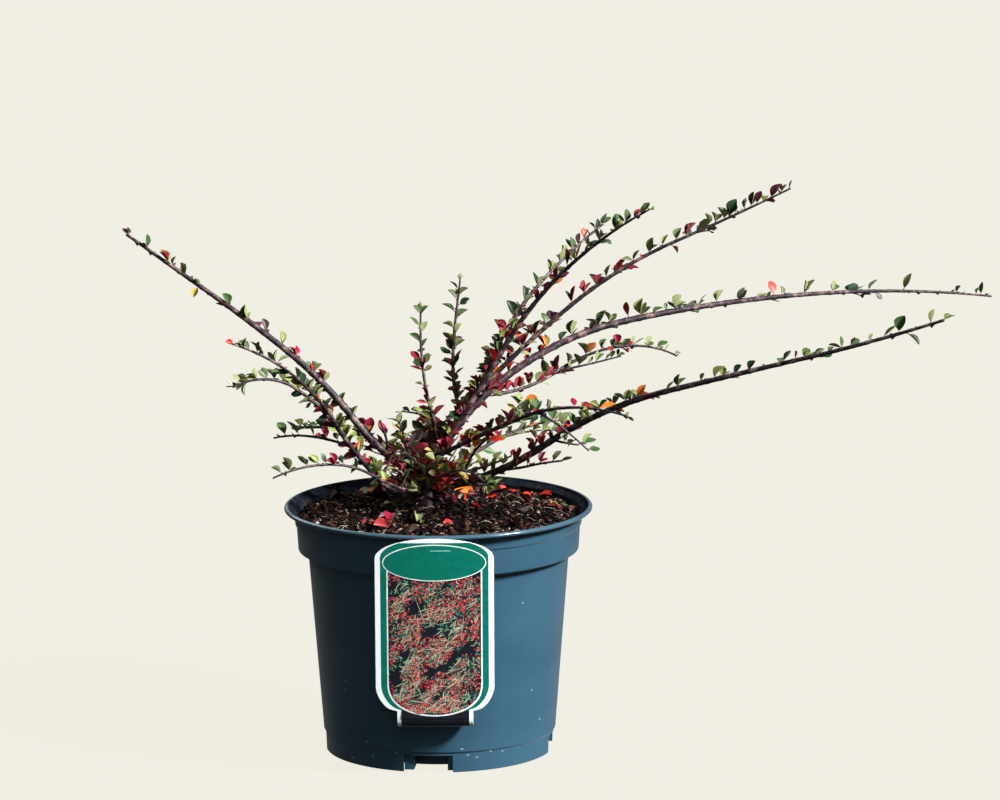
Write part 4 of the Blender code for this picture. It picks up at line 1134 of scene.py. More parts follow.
@dataclass
class Label:
    """The hanging label: a white card wrapped on the collar, with printed panels on its face.

    Sizes are in millimetres. Across is measured round the collar from the label's middle, and
    depth down from the arch's top.
    """

    middle_x: float = -1.6
    half: float = 32.2
    top_z: float = 135.4
    arch: float = 11.0
    shoulder: float = 83.5
    neck: float = 97.0
    tall: float = 106.5
    tab_half: float = 20.6
    thick: float = 0.8
    front_r: float = 85.8
    bend_r: float = 300.0
    lean: float = 0.073
    fold_r: float = 5.2
    turn_up: float = 9.0
    columns: int = 24
    rows: int = 12
    ink_lift: float = 0.03
    border: float = 2.9
    border_top: float = 2.2
    tab_border: float = 2.2
    tab_bend: float = 62.0
    round_end: float = 19.0
    outline: tuple = (6.3, 6.3, 99.9)
    picture: tuple = (7.1, 7.1, 99.1)
    centre: tuple = field(init=False)

    def __post_init__(self) -> None:
        """Read the pot's axis off its solid."""
        low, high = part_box("pot")
        self.centre = ((low.x + high.x) / 2, (low.y + high.y) / 2)

    def place(self, across: float, radius: float, height: float) -> tuple[float, float, float]:
        """Where a point of the card lies.

        Args:
            across: millimetres round from the card's middle.
            radius: millimetres from the pot's axis.
            height: millimetres over the ground.

        Returns:
            The point, in metres.
        """
        angle = across / self.bend_r
        out = radius - self.bend_r * (1 - math.cos(angle))
        side = self.middle_x + self.bend_r * math.sin(angle)
        return (self.centre[0] + side * MM, self.centre[1] - out * MM, height * MM)

    def half_at(self, depth: float, inset: float = 0.0, shoulder: float = 0.0, neck: float = 0.0) -> float:
        """Half the card's width at a depth, for the outline drawn in by an inset.

        Args:
            depth: millimetres down from the arch's top.
            inset: how far the outline is drawn in.
            shoulder: where the outline starts to narrow, or nothing for the card's own.
            neck: where it has narrowed to the tab, or nothing for the card's own.

        Returns:
            Half the width in millimetres, or nothing outside the outline.
        """
        shoulder = shoulder or self.shoulder
        neck = neck or self.neck
        if depth < self.arch:
            rise = (self.arch - depth) / (self.arch - inset)
            return (self.half - inset) * math.sqrt(max(0.0, 1 - rise ** 2))
        if depth <= shoulder:
            return self.half - inset
        share = min(1.0, (depth - shoulder) / (neck - shoulder))
        return self.tab_half + (self.half - inset - self.tab_half) * math.sqrt(1 - share ** 1.6)

    def path(self) -> list[tuple[float, float, float]]:
        """Radius, height and half width along the card, from the arch's top to its turned-up end."""
        rows = []
        arch = [self.arch * (1 - math.cos(math.pi / 2 * k / self.rows)) for k in range(1, self.rows + 1)]
        body = [self.arch + (self.shoulder - self.arch) * k / self.rows for k in range(1, self.rows + 1)]
        foot = [self.shoulder + (self.neck - self.shoulder) * k / self.rows for k in range(1, self.rows + 1)]
        for depth in [0.02] + arch + body + foot:
            rows.append((self.front_r - self.lean * depth, self.top_z - depth, self.half_at(depth)))
        bend_z = self.top_z - self.tall + self.fold_r
        bend_r = self.front_r - self.lean * self.tall - self.fold_r
        for k in range(self.rows + 1):
            angle = math.pi * k / self.rows
            rows.append((bend_r + self.fold_r * math.cos(angle), bend_z - self.fold_r * math.sin(angle),
                         self.tab_half))
        rows.append((bend_r - self.fold_r + 0.4, bend_z + self.turn_up, self.tab_half - 4.0))
        return rows

    def card(self) -> bpy.types.Object:
        """The white card itself, as a thin closed sheet.

        Returns:
            The card's piece.
        """
        rows = self.path()
        flat = np.array([(radius, height) for radius, height, _ in rows])
        way = np.gradient(flat, axis=0)
        way /= np.linalg.norm(way, axis=1)[:, None]
        out = np.stack([-way[:, 1], way[:, 0]], axis=1)
        points = []
        for face in (0.5, -0.5):
            for spot, push, (_, _, half) in zip(flat, out, rows):
                radius, height = spot + push * face * self.thick
                for k in range(self.columns):
                    points.append(self.place(half * (2 * k / (self.columns - 1) - 1), radius, height))
        layer = len(rows) * self.columns
        faces = []
        for row in range(len(rows) - 1):
            for k in range(self.columns - 1):
                a = row * self.columns + k
                faces.append((a, a + self.columns, a + 1 + self.columns, a + 1))
                faces.append((layer + a, layer + a + 1, layer + a + 1 + self.columns, layer + a + self.columns))
            left, right = row * self.columns, row * self.columns + self.columns - 1
            faces.append((left, layer + left, layer + left + self.columns, left + self.columns))
            faces.append((right, right + self.columns, layer + right + self.columns, layer + right))
        for row, flip in ((0, False), (len(rows) - 1, True)):
            for k in range(self.columns - 1):
                a = row * self.columns + k
                face = (a, a + 1, layer + a + 1, layer + a)
                faces.append(tuple(reversed(face)) if flip else face)
        heap = Heap()
        heap.add(np.array(points), faces)
        return heap.piece("label_card", Ink("card_white", (0.88, 0.96, 0.95), 0.02).dress(), "label_card",
                          ("label",), sharp=50.0)

    def face_point(self, across: float, depth: float, lift: float) -> tuple[float, float, float]:
        """A point on the card's front face.

        Args:
            across: millimetres round from the card's middle.
            depth: millimetres down from the arch's top.
            lift: millimetres out from the face.

        Returns:
            The point, in metres.
        """
        radius = self.front_r - self.lean * depth + self.thick / 2 + lift
        return self.place(across, radius, self.top_z - depth)

    def panel(self, name: str, colour: tuple, depths: list[float], halves: list[float],
              layer: int, shift: float = 0.0) -> bpy.types.Object:
        """A printed area that follows the card's face.

        Args:
            name: the piece's name.
            colour: the ink's colour.
            depths: how far down each row of it lies.
            halves: half its width at each row.
            layer: how many inks lie under it, itself included.
            shift: how far it lies to the right of the card's middle.

        Returns:
            The panel's piece.
        """
        points = []
        for depth, half in zip(depths, halves):
            for k in range(self.columns):
                across = shift + half * (2 * k / (self.columns - 1) - 1)
                points.append(self.face_point(across, depth, self.ink_lift * layer))
        faces = []
        for row in range(len(depths) - 1):
            for k in range(self.columns - 1):
                a = row * self.columns + k
                faces.append((a, a + self.columns, a + 1 + self.columns, a + 1))
        heap = Heap()
        heap.add(np.array(points), faces)
        return heap.piece(name, Ink(name, colour).dress(), "label_card")

    def band(self, inset: float, top: float, end: float) -> tuple[list[float], list[float]]:
        """Rows for a panel that keeps an even distance to the card's sides and has a round end.

        Args:
            inset: that distance.
            top: how far down the panel starts.
            end: how far down its round end reaches.

        Returns:
            The rows' depths and half widths.
        """
        count = 4 * self.rows
        depths, halves = [], []
        for k in range(count + 1):
            depth = top + (end - top) * (1 - math.cos(math.pi * k / count)) / 2
            half = self.half_at(min(depth + inset - top, self.shoulder), inset)
            if depth > end - self.round_end:
                share = (depth - end + self.round_end) / self.round_end
                half *= math.sqrt(max(0.0, 1 - share ** 2.6))
            depths.append(depth)
            halves.append(half)
        return depths, halves

    def green(self) -> tuple[list[float], list[float]]:
        """Rows for the green ground, which follows the card's edge down to its tab.

        Returns:
            The rows' depths and half widths.
        """
        depths, halves = self.band(self.border, self.border_top, self.neck)
        inner = [max(0.0, self.half_at(depth + self.border - self.border_top) - self.border) for depth in depths]
        return depths, inner

    def tab(self) -> None:
        """The print on the tab, down to where the card folds under, painted near-black as the shade where the card
        curves away.
        """
        points = []
        out = self.thick / 2 + self.ink_lift
        rows = []
        for depth in np.linspace(self.neck - 1.0, self.tall - self.fold_r, self.rows):
            rows.append((self.front_r - self.lean * depth + out, self.top_z - depth))
        bend_z = self.top_z - self.tall + self.fold_r
        bend_r = self.front_r - self.lean * self.tall - self.fold_r
        for k in range(1, self.rows + 1):
            angle = math.radians(self.tab_bend) * k / self.rows
            reach = self.fold_r + out
            rows.append((bend_r + reach * math.cos(angle), bend_z - reach * math.sin(angle)))
        for radius, height in rows:
            for k in range(self.columns):
                across = (self.tab_half - self.tab_border) * (2 * k / (self.columns - 1) - 1)
                points.append(self.place(across, radius, height))
        faces = []
        for row in range(len(rows) - 1):
            for k in range(self.columns - 1):
                a = row * self.columns + k
                faces.append((a, a + self.columns, a + 1 + self.columns, a + 1))
        heap = Heap()
        heap.add(np.array(points), faces)
        # Near-black: painted shade over what is the green ground's print.
        heap.piece("print_tab_painted_shade", Ink("print_tab_painted_shade", (0.008, 0.011, 0.018)).dress(), "label_card")

    def ellipse(self, middle: float, across: float, down: float) -> tuple[list[float], list[float]]:
        """Rows for an oval panel.

        Args:
            middle: how far down its middle lies.
            across: its half width.
            down: its half height.

        Returns:
            The rows' depths and half widths.
        """
        turns = [math.pi * k / (2 * self.rows) for k in range(2 * self.rows + 1)]
        return [middle - down * math.cos(t) for t in turns], [across * math.sin(t) for t in turns]

    def sprigs(self) -> None:
        """Scatter clumps of small leaves and berries on the picture panel, as a generic print."""
        dice = random.Random("label print")
        kinds = {"print_shade": ((0.014, 0.085, 0.070), 1100, 1.5, 0.4),
                 "print_leaves": ((0.110, 0.310, 0.195), 1700, 0.70, 0.4),
                 "print_berries": ((0.520, 0.022, 0.050), 2300, 0.52, 0.8),
                 "print_twigs": ((0.520, 0.580, 0.400), 420, 2.1, 0.08),
                 "print_embers": ((0.700, 0.120, 0.070), 1000, 0.42, 0.7),
                 "print_stems": ((0.420, 0.440, 0.320), 60, 7.5, 0.022),
                 "print_glints": ((0.800, 0.500, 0.380), 1300, 0.27, 0.9)}
        depths, halves = self.band(*self.picture)
        for layer, (name, (colour, count, size, slim)) in enumerate(kinds.items()):
            heap = Heap()
            for _ in range(count):
                depth = dice.uniform(17.0, 98.0)
                half = float(np.interp(depth, depths, halves)) - size * 0.9
                across = dice.uniform(-1.0, 1.0) * half
                clump = noise.noise((across * 0.11 + depth * 0.05, depth * 0.09, 2.0 + (layer % 2) * 9.0))
                outside = math.hypot(across / 28.2, (depth - 13.4) / 10.3) - size * 0.1
                if half <= 0 or clump < dice.uniform(-0.32, 0.06) or outside < 1.0:
                    continue
                reach = size * dice.uniform(0.5, 1.3)
                turn = dice.gauss(-0.7, 0.55)
                points = []
                for k in range(6):
                    angle = math.tau * k / 6
                    a, d = reach * math.cos(angle), reach * slim * math.sin(angle)
                    points.append(self.face_point(across + a * math.cos(turn) - d * math.sin(turn),
                                                  depth + a * math.sin(turn) + d * math.cos(turn),
                                                  self.ink_lift * (5 + layer)))
                heap.add(np.array(points), [tuple(reversed(range(6)))])
            heap.piece(name, Ink(name, colour).dress(), "label_card")

    def build(self) -> None:
        """Make the card and print it."""
        green, line = (0.0, 0.145, 0.100), (0.80, 0.86, 0.84)
        self.card()
        self.panel("print_green", green, *self.green(), layer=1)
        self.tab()
        self.panel("print_line", line, *self.band(*self.outline), layer=2)
        self.panel("print_picture", (0.007, 0.009, 0.014), *self.band(*self.picture), layer=3)
        self.panel("print_oval_line", line, *self.ellipse(13.4, 28.2, 10.3), layer=4)
        self.panel("print_oval", green, *self.ellipse(13.4, 27.6, 9.75), layer=5)
        self.panel("print_slot", (0.20, 0.42, 0.38), [6.3, 6.9], [5.4, 5.4], 6, 3.4)
        self.sprigs()


@dataclass(frozen=True)
class Blade:
    """A leaf's shape, in shares of its length."""

    wide: float = 0.70
    widest: float = 0.54
    cup: float = 0.24
    droop: float = 0.26
    thick: float = 0.03
    stalk: float = 0.06
    stations: tuple = (0.0, 0.06, 0.18, 0.36, 0.56, 0.75, 0.89, 0.96, 1.0)
    columns: tuple = (-1.0, -0.5, 0.0, 0.5, 1.0)

    def half(self, share: float) -> float:
        """Half the blade's width at a share of its length."""
        bend = math.log(0.5) / math.log(self.widest)
        return self.wide / 2 * max(0.0, math.sin(math.pi * share ** bend)) ** 0.78

    def template(self, under: bool) -> tuple[np.ndarray, list[tuple[int, ...]]]:
        """One side of the blade, lying along +X with its upper face to +Z.

        Args:
            under: whether it is the underside.

        Returns:
            Rows of forward, sideways, cup, droop and thickness, and the faces.
        """
        rows, faces = [], []
        number: dict[tuple[int, int], int] = {}
        last, edge = len(self.stations) - 1, len(self.columns) - 1
        for s, share in enumerate(self.stations):
            for c, across in enumerate(self.columns):
                end = s in (0, last)
                if end and c:
                    number[s, c] = number[s, 0]
                    continue
                number[s, c] = len(rows)
                side = 0.0 if end else self.half(share) * across
                fold = self.half(share) / (self.wide / 2) * abs(across) ** 1.4
                inner = under and not end and 0 < c < edge
                rows.append((share, side, fold, share ** 2, -1.0 if inner else 0.0))
        for s in range(last):
            for c in range(edge):
                corners = [number[s, c], number[s + 1, c], number[s + 1, c + 1], number[s, c + 1]]
                if under:
                    corners.reverse()
                faces.append(tuple(dict.fromkeys(corners)))
        return np.array(rows), faces


class Foliage:
    """Every leaf of the plant, heaped by tint, with the undersides and stalks heaped apart."""

    def __init__(self) -> None:
        """Start with no leaves."""
        self.blade = Blade()
        self.upper = self.blade.template(False)
        self.under = self.blade.template(True)
        self.heaps = {tint: Heap() for tint in Tint}
        self.backs = {back: Heap() for back in Back}
        self.owners: dict[Tint, set[str]] = {tint: set() for tint in Tint}
        self.stalks = Heap()
        self.leaves = 0

    def add(self, root: np.ndarray, way: np.ndarray, face: np.ndarray, length: float, tint: Tint,
            dice: random.Random, owner: str = "", curl: float = 1.0) -> None:
        """Put one leaf on, with its short stalk.

        Args:
            root: where its stalk leaves the wood.
            way: which way it points.
            face: which way its upper face looks.
            length: the blade's length.
            tint: its colour.
            dice: the draw that makes each leaf its own.
            owner: the shoot that carries it, or nothing for one on the soil.
            curl: how much more than others it is rolled up.
        """
        way = unit(way)
        across = unit(np.cross(face, way))
        up = np.cross(way, across)
        foot = root + way * length * self.blade.stalk
        wide = dice.uniform(0.78, 1.12)
        cup = self.blade.cup * dice.uniform(-0.1, 1.6) * curl
        droop = self.blade.droop * dice.uniform(-0.5, 1.5) * curl
        skew = dice.uniform(-0.12, 0.12)
        twist = dice.uniform(-0.5, 0.5)
        for (rows, faces), heap in ((self.upper, self.heaps[tint]), (self.under, self.backs[tint.back])):
            forward, side, fold, drop, thick = rows.T
            height = fold * cup - drop * droop + thick * self.blade.thick + side * twist * forward
            points = foot + length * (forward[:, None] * way + (side * wide + skew * drop)[:, None] * across
                                      + height[:, None] * up)
            heap.add(points, faces)
        self.leaves += 1
        if owner:
            self.owners[tint].add("leaves_" + owner)
            self.stalk(root - way * 0.5 * MM, foot + way * length * 0.12, 0.26 * MM)

    def stalk(self, start: np.ndarray, end: np.ndarray, radius: float) -> None:
        """Put a thin three-sided stalk between two points.

        Args:
            start: where it leaves the wood.
            end: where it runs out under the blade.
            radius: its radius at the start.
        """
        way = unit(end - start)
        side = unit(np.cross(way, (0.31, 0.52, 0.79)))
        cross = np.cross(way, side)
        points = []
        for spot, reach in ((start, radius), (end, radius * 0.5)):
            for k in range(3):
                angle = math.tau * k / 3
                points.append(spot + reach * (math.cos(angle) * side + math.sin(angle) * cross))
        self.stalks.add(np.array(points), [(0, 1, 4, 3), (1, 2, 5, 4), (2, 0, 3, 5), (2, 1, 0), (3, 4, 5)])

    def build(self) -> None:
        """Join the leaves of each tint in one piece, and the undersides of each family in another."""
        for tint, heap in self.heaps.items():
            if heap.count:
                name = tint.name.lower()
                finish = LeafGloss("leaf_" + name, tint.colour)
                heap.piece("leaves_" + name, finish.dress(), tint.back.value[0],
                           tuple(sorted(self.owners[tint])))
        for back, heap in self.backs.items():
            name = "undersides_" + back.name.lower()
            heap.piece(name, LeafGloss(name, back.value[1], 0.7, 0.2).dress(), back.value[0])
        self.stalks.piece("leaf_stalks", Ink("stalk_pink", (0.30, 0.12, 0.09)).dress(), "red_leaves")
        LOG.info("foliage: %d leaves", self.leaves)


@dataclass(frozen=True)
class Tuft:
    """A few leaves that spring from one spot of a shoot, as the photograph shows them."""

    x: float
    y: float
    leaves: str

    def read(self) -> list[tuple[Tint, float, float]]:
        """Spell out the leaves.

        Returns:
            The tint, the hour that it points to and the length in millimetres of each.
        """
        spelt = []
        for word in self.leaves.split():
            letter = word.lstrip("-+")[0]
            size = {"-": 4.4, "+": 13.0}.get(word[0], 8.3 if letter.isupper() else 6.3)
            spelt.append((Tint.of(letter.lower()), float(word.lstrip("-+")[1:]), size))
        return spelt


@dataclass
class Wood:
    """The trunk and every shoot, with the bark's relief, and the leaves that they carry.

    Shoots that the photograph shows carry the tufts listed for them. The rest, the side twigs and
    the far sides grow theirs by a rule. Sizes are in millimetres and degrees.
    """

    view: View
    foliage: Foliage
    trunk_x: float = -6.0
    trunk_y: float = 12.0
    grow_step: float = 2.0
    skin_step: float = 1.6
    relief: float = 0.09
    leaf: float = 6.6
    spur_step: float = 8.6
    rank_step: float = 4.4
    far_step: float = 11.0
    lead: float = 1.2
    fill_step: float = 5.6
    fill_reach: float = 46.0
    spread: float = 56.0
    lift: float = 34.0
    rim_z: float = 137.4
    soil_z: float = 133.4
    inside_r: float = 78.0
    taper: float = 1.5
    fork_r: tuple = (0.75, 0.4)
    thicket: int = 34
    flare: tuple = ((0.0, 7.2), (1.4, 6.0), (4.0, 5.2), (8.0, 4.6), (13.0, 4.2), (17.0, 3.7), (18.6, 2.2))
    lines: dict = field(default_factory=dict)

    def __post_init__(self) -> None:
        """Lay out every limb's line, and the forks' lines."""
        centre = self.view.centre
        for name, shoot in SHOOTS.items():
            if not shoot.parent:
                start = np.array((centre[0] + self.trunk_x * MM, centre[1] + self.trunk_y * MM,
                                  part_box("trunk")[0].z))
            else:
                parent = self.lines[shoot.parent]
                start = parent.at(parent.along[-1] * shoot.at)[0]
            self.lines[name] = self.grow(start, shoot)
        for name, (parent, *marks) in FORKS.items():
            self.lines[name] = self.fork(self.lines[parent], marks)

    def grow(self, start: np.ndarray, shoot: Shoot) -> Line:
        """Follow a shoot's heading and rise from its foot to its tip.

        Args:
            start: where it springs.
            shoot: how it grows.

        Returns:
            Its centre line.
        """
        count = max(8, round(shoot.length / self.grow_step))
        step = shoot.length * MM / count
        points = [start]
        for k in range(count):
            share = (k + 0.5) / count
            heading = math.radians(shoot.heading[0] + (shoot.heading[1] - shoot.heading[0]) * share)
            rise = math.radians(float(np.interp(share, np.linspace(0, 1, len(shoot.rises)), shoot.rises)))
            way = np.array((math.cos(rise) * math.cos(heading), math.cos(rise) * math.sin(heading),
                            math.sin(rise)))
            points.append(points[-1] + way * step)
        shares = np.linspace(0, 1, count + 1)
        return Line(points, (shoot.foot_r + (shoot.tip_r - shoot.foot_r) * shares ** self.taper) * MM)

    def fork(self, parent: Line, marks: list[tuple[float, float]]) -> Line:
        """A thin fork through three pixels, as deep in the picture as its foot.

        Args:
            parent: the line that it leaves.
            marks: the pixels of its foot, its middle and its tip.

        Returns:
            Its centre line.
        """
        foot = parent.at(self.nearest(parent, *marks[0]))[0]
        middle, tip = (self.view.beside(foot, *mark) for mark in marks[1:])
        control = 2 * middle - (foot + tip) / 2
        shares = np.linspace(0, 1, 13)
        points = [(1 - s) ** 2 * foot + 2 * s * (1 - s) * control + s * s * tip for s in shares]
        return Line(points, (self.fork_r[0] + (self.fork_r[1] - self.fork_r[0]) * shares) * MM)

    def nearest(self, line: Line, x: float, y: float) -> float:
        """How far along a line the picture shows it nearest to a pixel.

        Args:
            line: the line.
            x: pixels from the left.
            y: pixels from the top.

        Returns:
            The distance along the line, in metres.
        """
        reaches = np.linspace(0, line.along[-1], 4 * len(line.points))
        shown = self.view.project(np.array([line.read(line.points, reach) for reach in reaches]))
        return float(reaches[np.argmin(np.hypot(shown[:, 0] - x, shown[:, 1] - y))])

    def skin(self, line: Line, heap: Heap, seed: float, flare: bool = True) -> None:
        """Wrap a limb in bark that swells at its buds and is ribbed along.

        Args:
            line: the limb's line.
            heap: where the skin goes.
            seed: what sets this limb's pattern apart.
            flare: whether its foot widens into what carries it.
        """
        foot_r = line.radii[0]
        sides = 18 if foot_r > 2.2 * MM else 12 if foot_r > 1.2 * MM else 8
        count = max(4, round(line.along[-1] / (self.skin_step * MM)))
        points = []
        for ring in range(count + 1):
            distance = line.along[-1] * ring / count
            centre = line.read(line.points, distance)
            radius = float(np.interp(distance, line.along, line.radii))
            side, cross = line.read(line.sides, distance), line.read(line.crosses, distance)
            if flare:
                radius *= 1 + 0.2 * math.exp(-distance / (1.6 * foot_r))
            radius *= 1 + 0.16 * max(0.0, math.cos(distance / MM * math.tau / self.spur_step + seed)) ** 8
            for k in range(sides):
                angle = math.tau * k / sides
                rib = noise.noise((math.cos(angle) * 1.7, math.sin(angle) * 1.7 + seed, distance / MM * 0.22))
                reach = radius * (1 + self.relief * rib)
                points.append(centre + reach * (math.cos(angle) * side + math.sin(angle) * cross))
        faces = ring_faces(count + 1, sides)
        last = count * sides
        faces.append(tuple(reversed(range(sides))))
        faces.append(tuple(range(last, last + sides)))
        heap.add(np.array(points), faces)

    def trunk(self) -> None:
        """The stump with its root flare, flat on the soil and rounded above."""
        line = self.lines["trunk"]
        sides, steps = 40, 44
        heights = [h for h, _ in self.flare]
        radii = [r for _, r in self.flare]
        points = []
        for ring in range(steps + 1):
            height = heights[-1] * ring / steps
            centre = line.points[0] + line.tangents[0] * height * MM
            radius = float(np.interp(height, heights, radii))
            for k in range(sides):
                angle = math.tau * k / sides
                rib = noise.noise((math.cos(angle) * 2.6, math.sin(angle) * 2.6, height * 0.16))
                root = 0.13 * math.cos(5 * angle + 0.7) * math.exp(-height / 4.0)
                reach = radius * (1 + 0.10 * rib + root) * MM
                spot = centre + np.array((reach * math.cos(angle), reach * math.sin(angle), 0.0))
                points.append((spot[0], spot[1], spot[2] if ring else line.points[0][2]))
        faces = ring_faces(steps + 1, sides)
        last = steps * sides
        faces.append(tuple(reversed(range(sides))))
        faces.append(tuple(range(last, last + sides)))
        heap = Heap()
        heap.add(np.array(points), faces)
        heap.piece("trunk_bark", Bark("bark_trunk", scurf=(0.060, 0.034, 0.028)).dress(), "bark", ("trunk",))

    def free(self, points: np.ndarray) -> bool:
        """Whether all the points are clear of the soil and the pot's rim.

        Args:
            points: one row for each, in metres.

        Returns:
            Whether they are.
        """
        radial = np.linalg.norm(points[:, :2] - np.array(self.view.centre), axis=1)
        floor = np.where(radial > self.inside_r * MM, self.rim_z, self.soil_z) * MM
        return bool((points[:, 2] >= floor).all())

    def leaf_way(self, tangent: np.ndarray, side: float, dice: random.Random) -> tuple[np.ndarray, np.ndarray]:
        """Which way a leaf points and faces: forward along the shoot, out to one side, and up.

        Args:
            tangent: the shoot's direction.
            side: 1 for its left, -1 for its right.
            dice: the shoot's own draw.

        Returns:
            The leaf's direction, and the direction that its upper face looks.
        """
        level = unit(np.cross(tangent, (0.0, 0.0, 1.0)))
        up = np.cross(level, tangent)
        spread = math.radians(self.spread + dice.uniform(-16, 16))
        lift = math.radians(self.lift + dice.uniform(-24, 30))
        out = level * side * math.cos(lift) + up * math.sin(lift)
        way = tangent * math.cos(spread) + out * math.sin(spread)
        face = unit(up + tangent * dice.uniform(-0.8, 0.1) + level * dice.uniform(-0.6, 0.6))
        return way, face

    def ranked(self, name: str, dice: random.Random, line: Line, ends: tuple[float, float],
               tint_of: Callable[[float], Tint]) -> None:
        """Single leaves along a line, left and right by turns, and one at its tip.

        Args:
            name: the shoot's name.
            dice: its own draw.
            line: the line that carries the leaves.
            ends: where the first and the last one are.
            tint_of: gives a leaf's tint from its distance along the line.
        """
        side = dice.choice((-1, 1))
        distance = ends[0]
        while distance < ends[1]:
            base, radius, tangent = line.at(distance)
            way, face = self.leaf_way(tangent, side, dice)
            root = base + unit(way) * radius * 0.8
            length = self.leaf * MM * dice.uniform(0.7, 1.15)
            if self.free(np.array([root + way * length])):
                self.foliage.add(root, way, face, length, tint_of(distance), dice, name)
            side = -side
            distance += self.rank_step * MM * dice.uniform(0.8, 1.25)
        base, radius, tangent = line.at(ends[1])
        _, face = self.leaf_way(tangent, side, dice)
        self.foliage.add(base, tangent, face, self.leaf * 0.75 * MM, tint_of(ends[1]), dice, name)

    def twig(self, base: np.ndarray, way: np.ndarray, length: float, foot_r: float) -> Line:
        """A short twig's line, which sags a little.

        Args:
            base: where it springs.
            way: which way it points.
            length: how long it is.
            foot_r: its radius at its foot.

        Returns:
            The line.
        """
        way = unit(way)
        shares = np.linspace(0, 1, 6)
        bend = np.array((0.0, 0.0, -0.12)) * length
        return Line([base + way * length * s + bend * s * s for s in shares],
                    foot_r + (0.35 * MM - foot_r) * shares)

    def tuft(self, name: str, dice: random.Random, line: Line, tuft: Tuft, heap: Heap) -> None:
        """Set a tuft that the photograph shows on its shoot, on a short spur.

        Args:
            name: the shoot's name.
            dice: its own draw.
            line: the shoot's line.
            tuft: the tuft.
            heap: where the spur's skin goes.
        """
        right, upward, forward = self.view.axes()
        distance = self.nearest(line, tuft.x, tuft.y) - self.lead * MM
        base, radius, tangent = line.at(max(0.0, distance))
        leaves = []
        for tint, hour, size in tuft.read():
            angle = math.tau * (hour + dice.uniform(-0.4, 0.4)) / 12
            flat = right * math.sin(angle) + upward * math.cos(angle) + tangent * 0.45
            leaves.append((tint, unit(flat + forward * dice.uniform(-0.4, 0.4)), size))
        mean = unit(sum(way for _, way, _ in leaves) + 0.01 * upward)
        spur = self.twig(base, mean, radius + dice.uniform(0.1, 0.6) * MM, min(0.7 * MM, radius))
        self.skin(spur, heap, tuft.x, False)
        for tint, way, size in leaves:
            over = unit(np.cross(forward, way))
            if over[2] + dice.uniform(-0.3, 0.3) < 0:
                over = -over
            shown = dice.random() < (0.85 if size > self.leaf * 1.2 else 0.62)
            tilt = -dice.uniform(0.35, 1.5) if shown else dice.uniform(0.25, 0.8)
            face = over + forward * tilt + tangent * dice.uniform(-0.2, 0.2)
            length = size * MM * dice.uniform(0.9, 1.12)
            root = spur.points[-1]
            if self.free(np.array([root + way * length * 0.8])):
                self.foliage.add(root, way, face, length, tint, dice, name)

    def far_side(self, name: str, dice: random.Random, line: Line, start: float,
                 tint_of: Callable[[float], Tint]) -> None:
        """Leaves that point away from the camera, so that a shoot is full from behind too.

        Args:
            name: the shoot's name.
            dice: its own draw.
            line: its line.
            start: where the first one is.
            tint_of: gives a leaf's tint from its distance along the shoot.
        """
        away = np.array((0.0, 1.0, 0.0))
        distance = start
        while distance < line.along[-1]:
            base, radius, tangent = line.at(distance)
            way = unit(away + tangent * dice.uniform(-0.4, 0.8) + np.array((0, 0, dice.uniform(-0.35, 0.15))))
            face = np.array((dice.uniform(-0.3, 0.3), 0.15, 1.0))
            length = self.leaf * MM * dice.uniform(0.7, 1.1)
            root = base + way * radius * 0.8
            if self.free(np.array([root + way * length])):
                self.foliage.add(root, way, face, length, tint_of(distance), dice, name)
            distance += self.far_step * MM * dice.uniform(0.6, 1.4)

    def side_twigs(self, name: str, shoot: Shoot, dice: random.Random, heap: Heap,
                   tint_of: Callable[[float], Tint]) -> None:
        """A shoot's leafy side twigs, to the far side of one that carries tufts.

        Args:
            name: the shoot's name.
            shoot: how it grows.
            dice: its own draw.
            heap: where the twigs' skin goes.
            tint_of: gives a leaf's tint from its distance along the shoot.
        """
        line = self.lines[name]
        end = line.along[-1]
        start = end * shoot.bare
        for k in range(shoot.side_twigs):
            share = (k + 0.5) / shoot.side_twigs
            distance = start + (end - start) * 0.8 * share
            base, _, tangent = line.at(distance)
            if name in TUFTS:
                way = tangent * 0.55 + np.array((0.0, 0.85, -0.14))
            else:
                level = unit(np.cross(tangent, (0.0, 0.0, 1.0)))
                way = tangent * 0.75 + level * (1 if k % 2 else -1) * 0.65 + np.array((0.0, 0.0, 0.12))
            twig = self.twig(base, way, dice.uniform(19, 27) * MM * (1.15 - 0.4 * share), 0.8 * MM)
            if not self.free(twig.points[1:]):
                continue
            self.skin(twig, heap, k + 0.5, False)
            tint = tint_of(distance)
            self.ranked(name, dice, twig, (3.0 * MM, twig.along[-1]),
                        lambda _, tint=tint: tint if dice.random() < 0.6 else tint_of(distance))

    def dress_shoot(self, name: str, shoot: Shoot, twigs: Heap) -> None:
        """Grow one shoot's twigs and leaves.

        Args:
            name: the shoot's name.
            shoot: how it grows.
            twigs: where the twigs' skin goes.
        """
        dice = random.Random("shoot " + name)
        line = self.lines[name]
        end = line.along[-1]
        start = end * shoot.bare * 0.6
        palettes = shoot.palettes

        def tint_of(distance: float) -> Tint:
            """The tint at a distance along the shoot."""
            spot = min(len(palettes) - 1, int(distance / end * len(palettes) + dice.uniform(-0.3, 0.3)))
            return palettes[max(0, spot)].draw(dice)

        if name in TUFTS:
            self.far_side(name, dice, line, start, tint_of)
        else:
            self.ranked(name, dice, line, (start, end), tint_of)
        self.side_twigs(name, shoot, dice, twigs, tint_of)

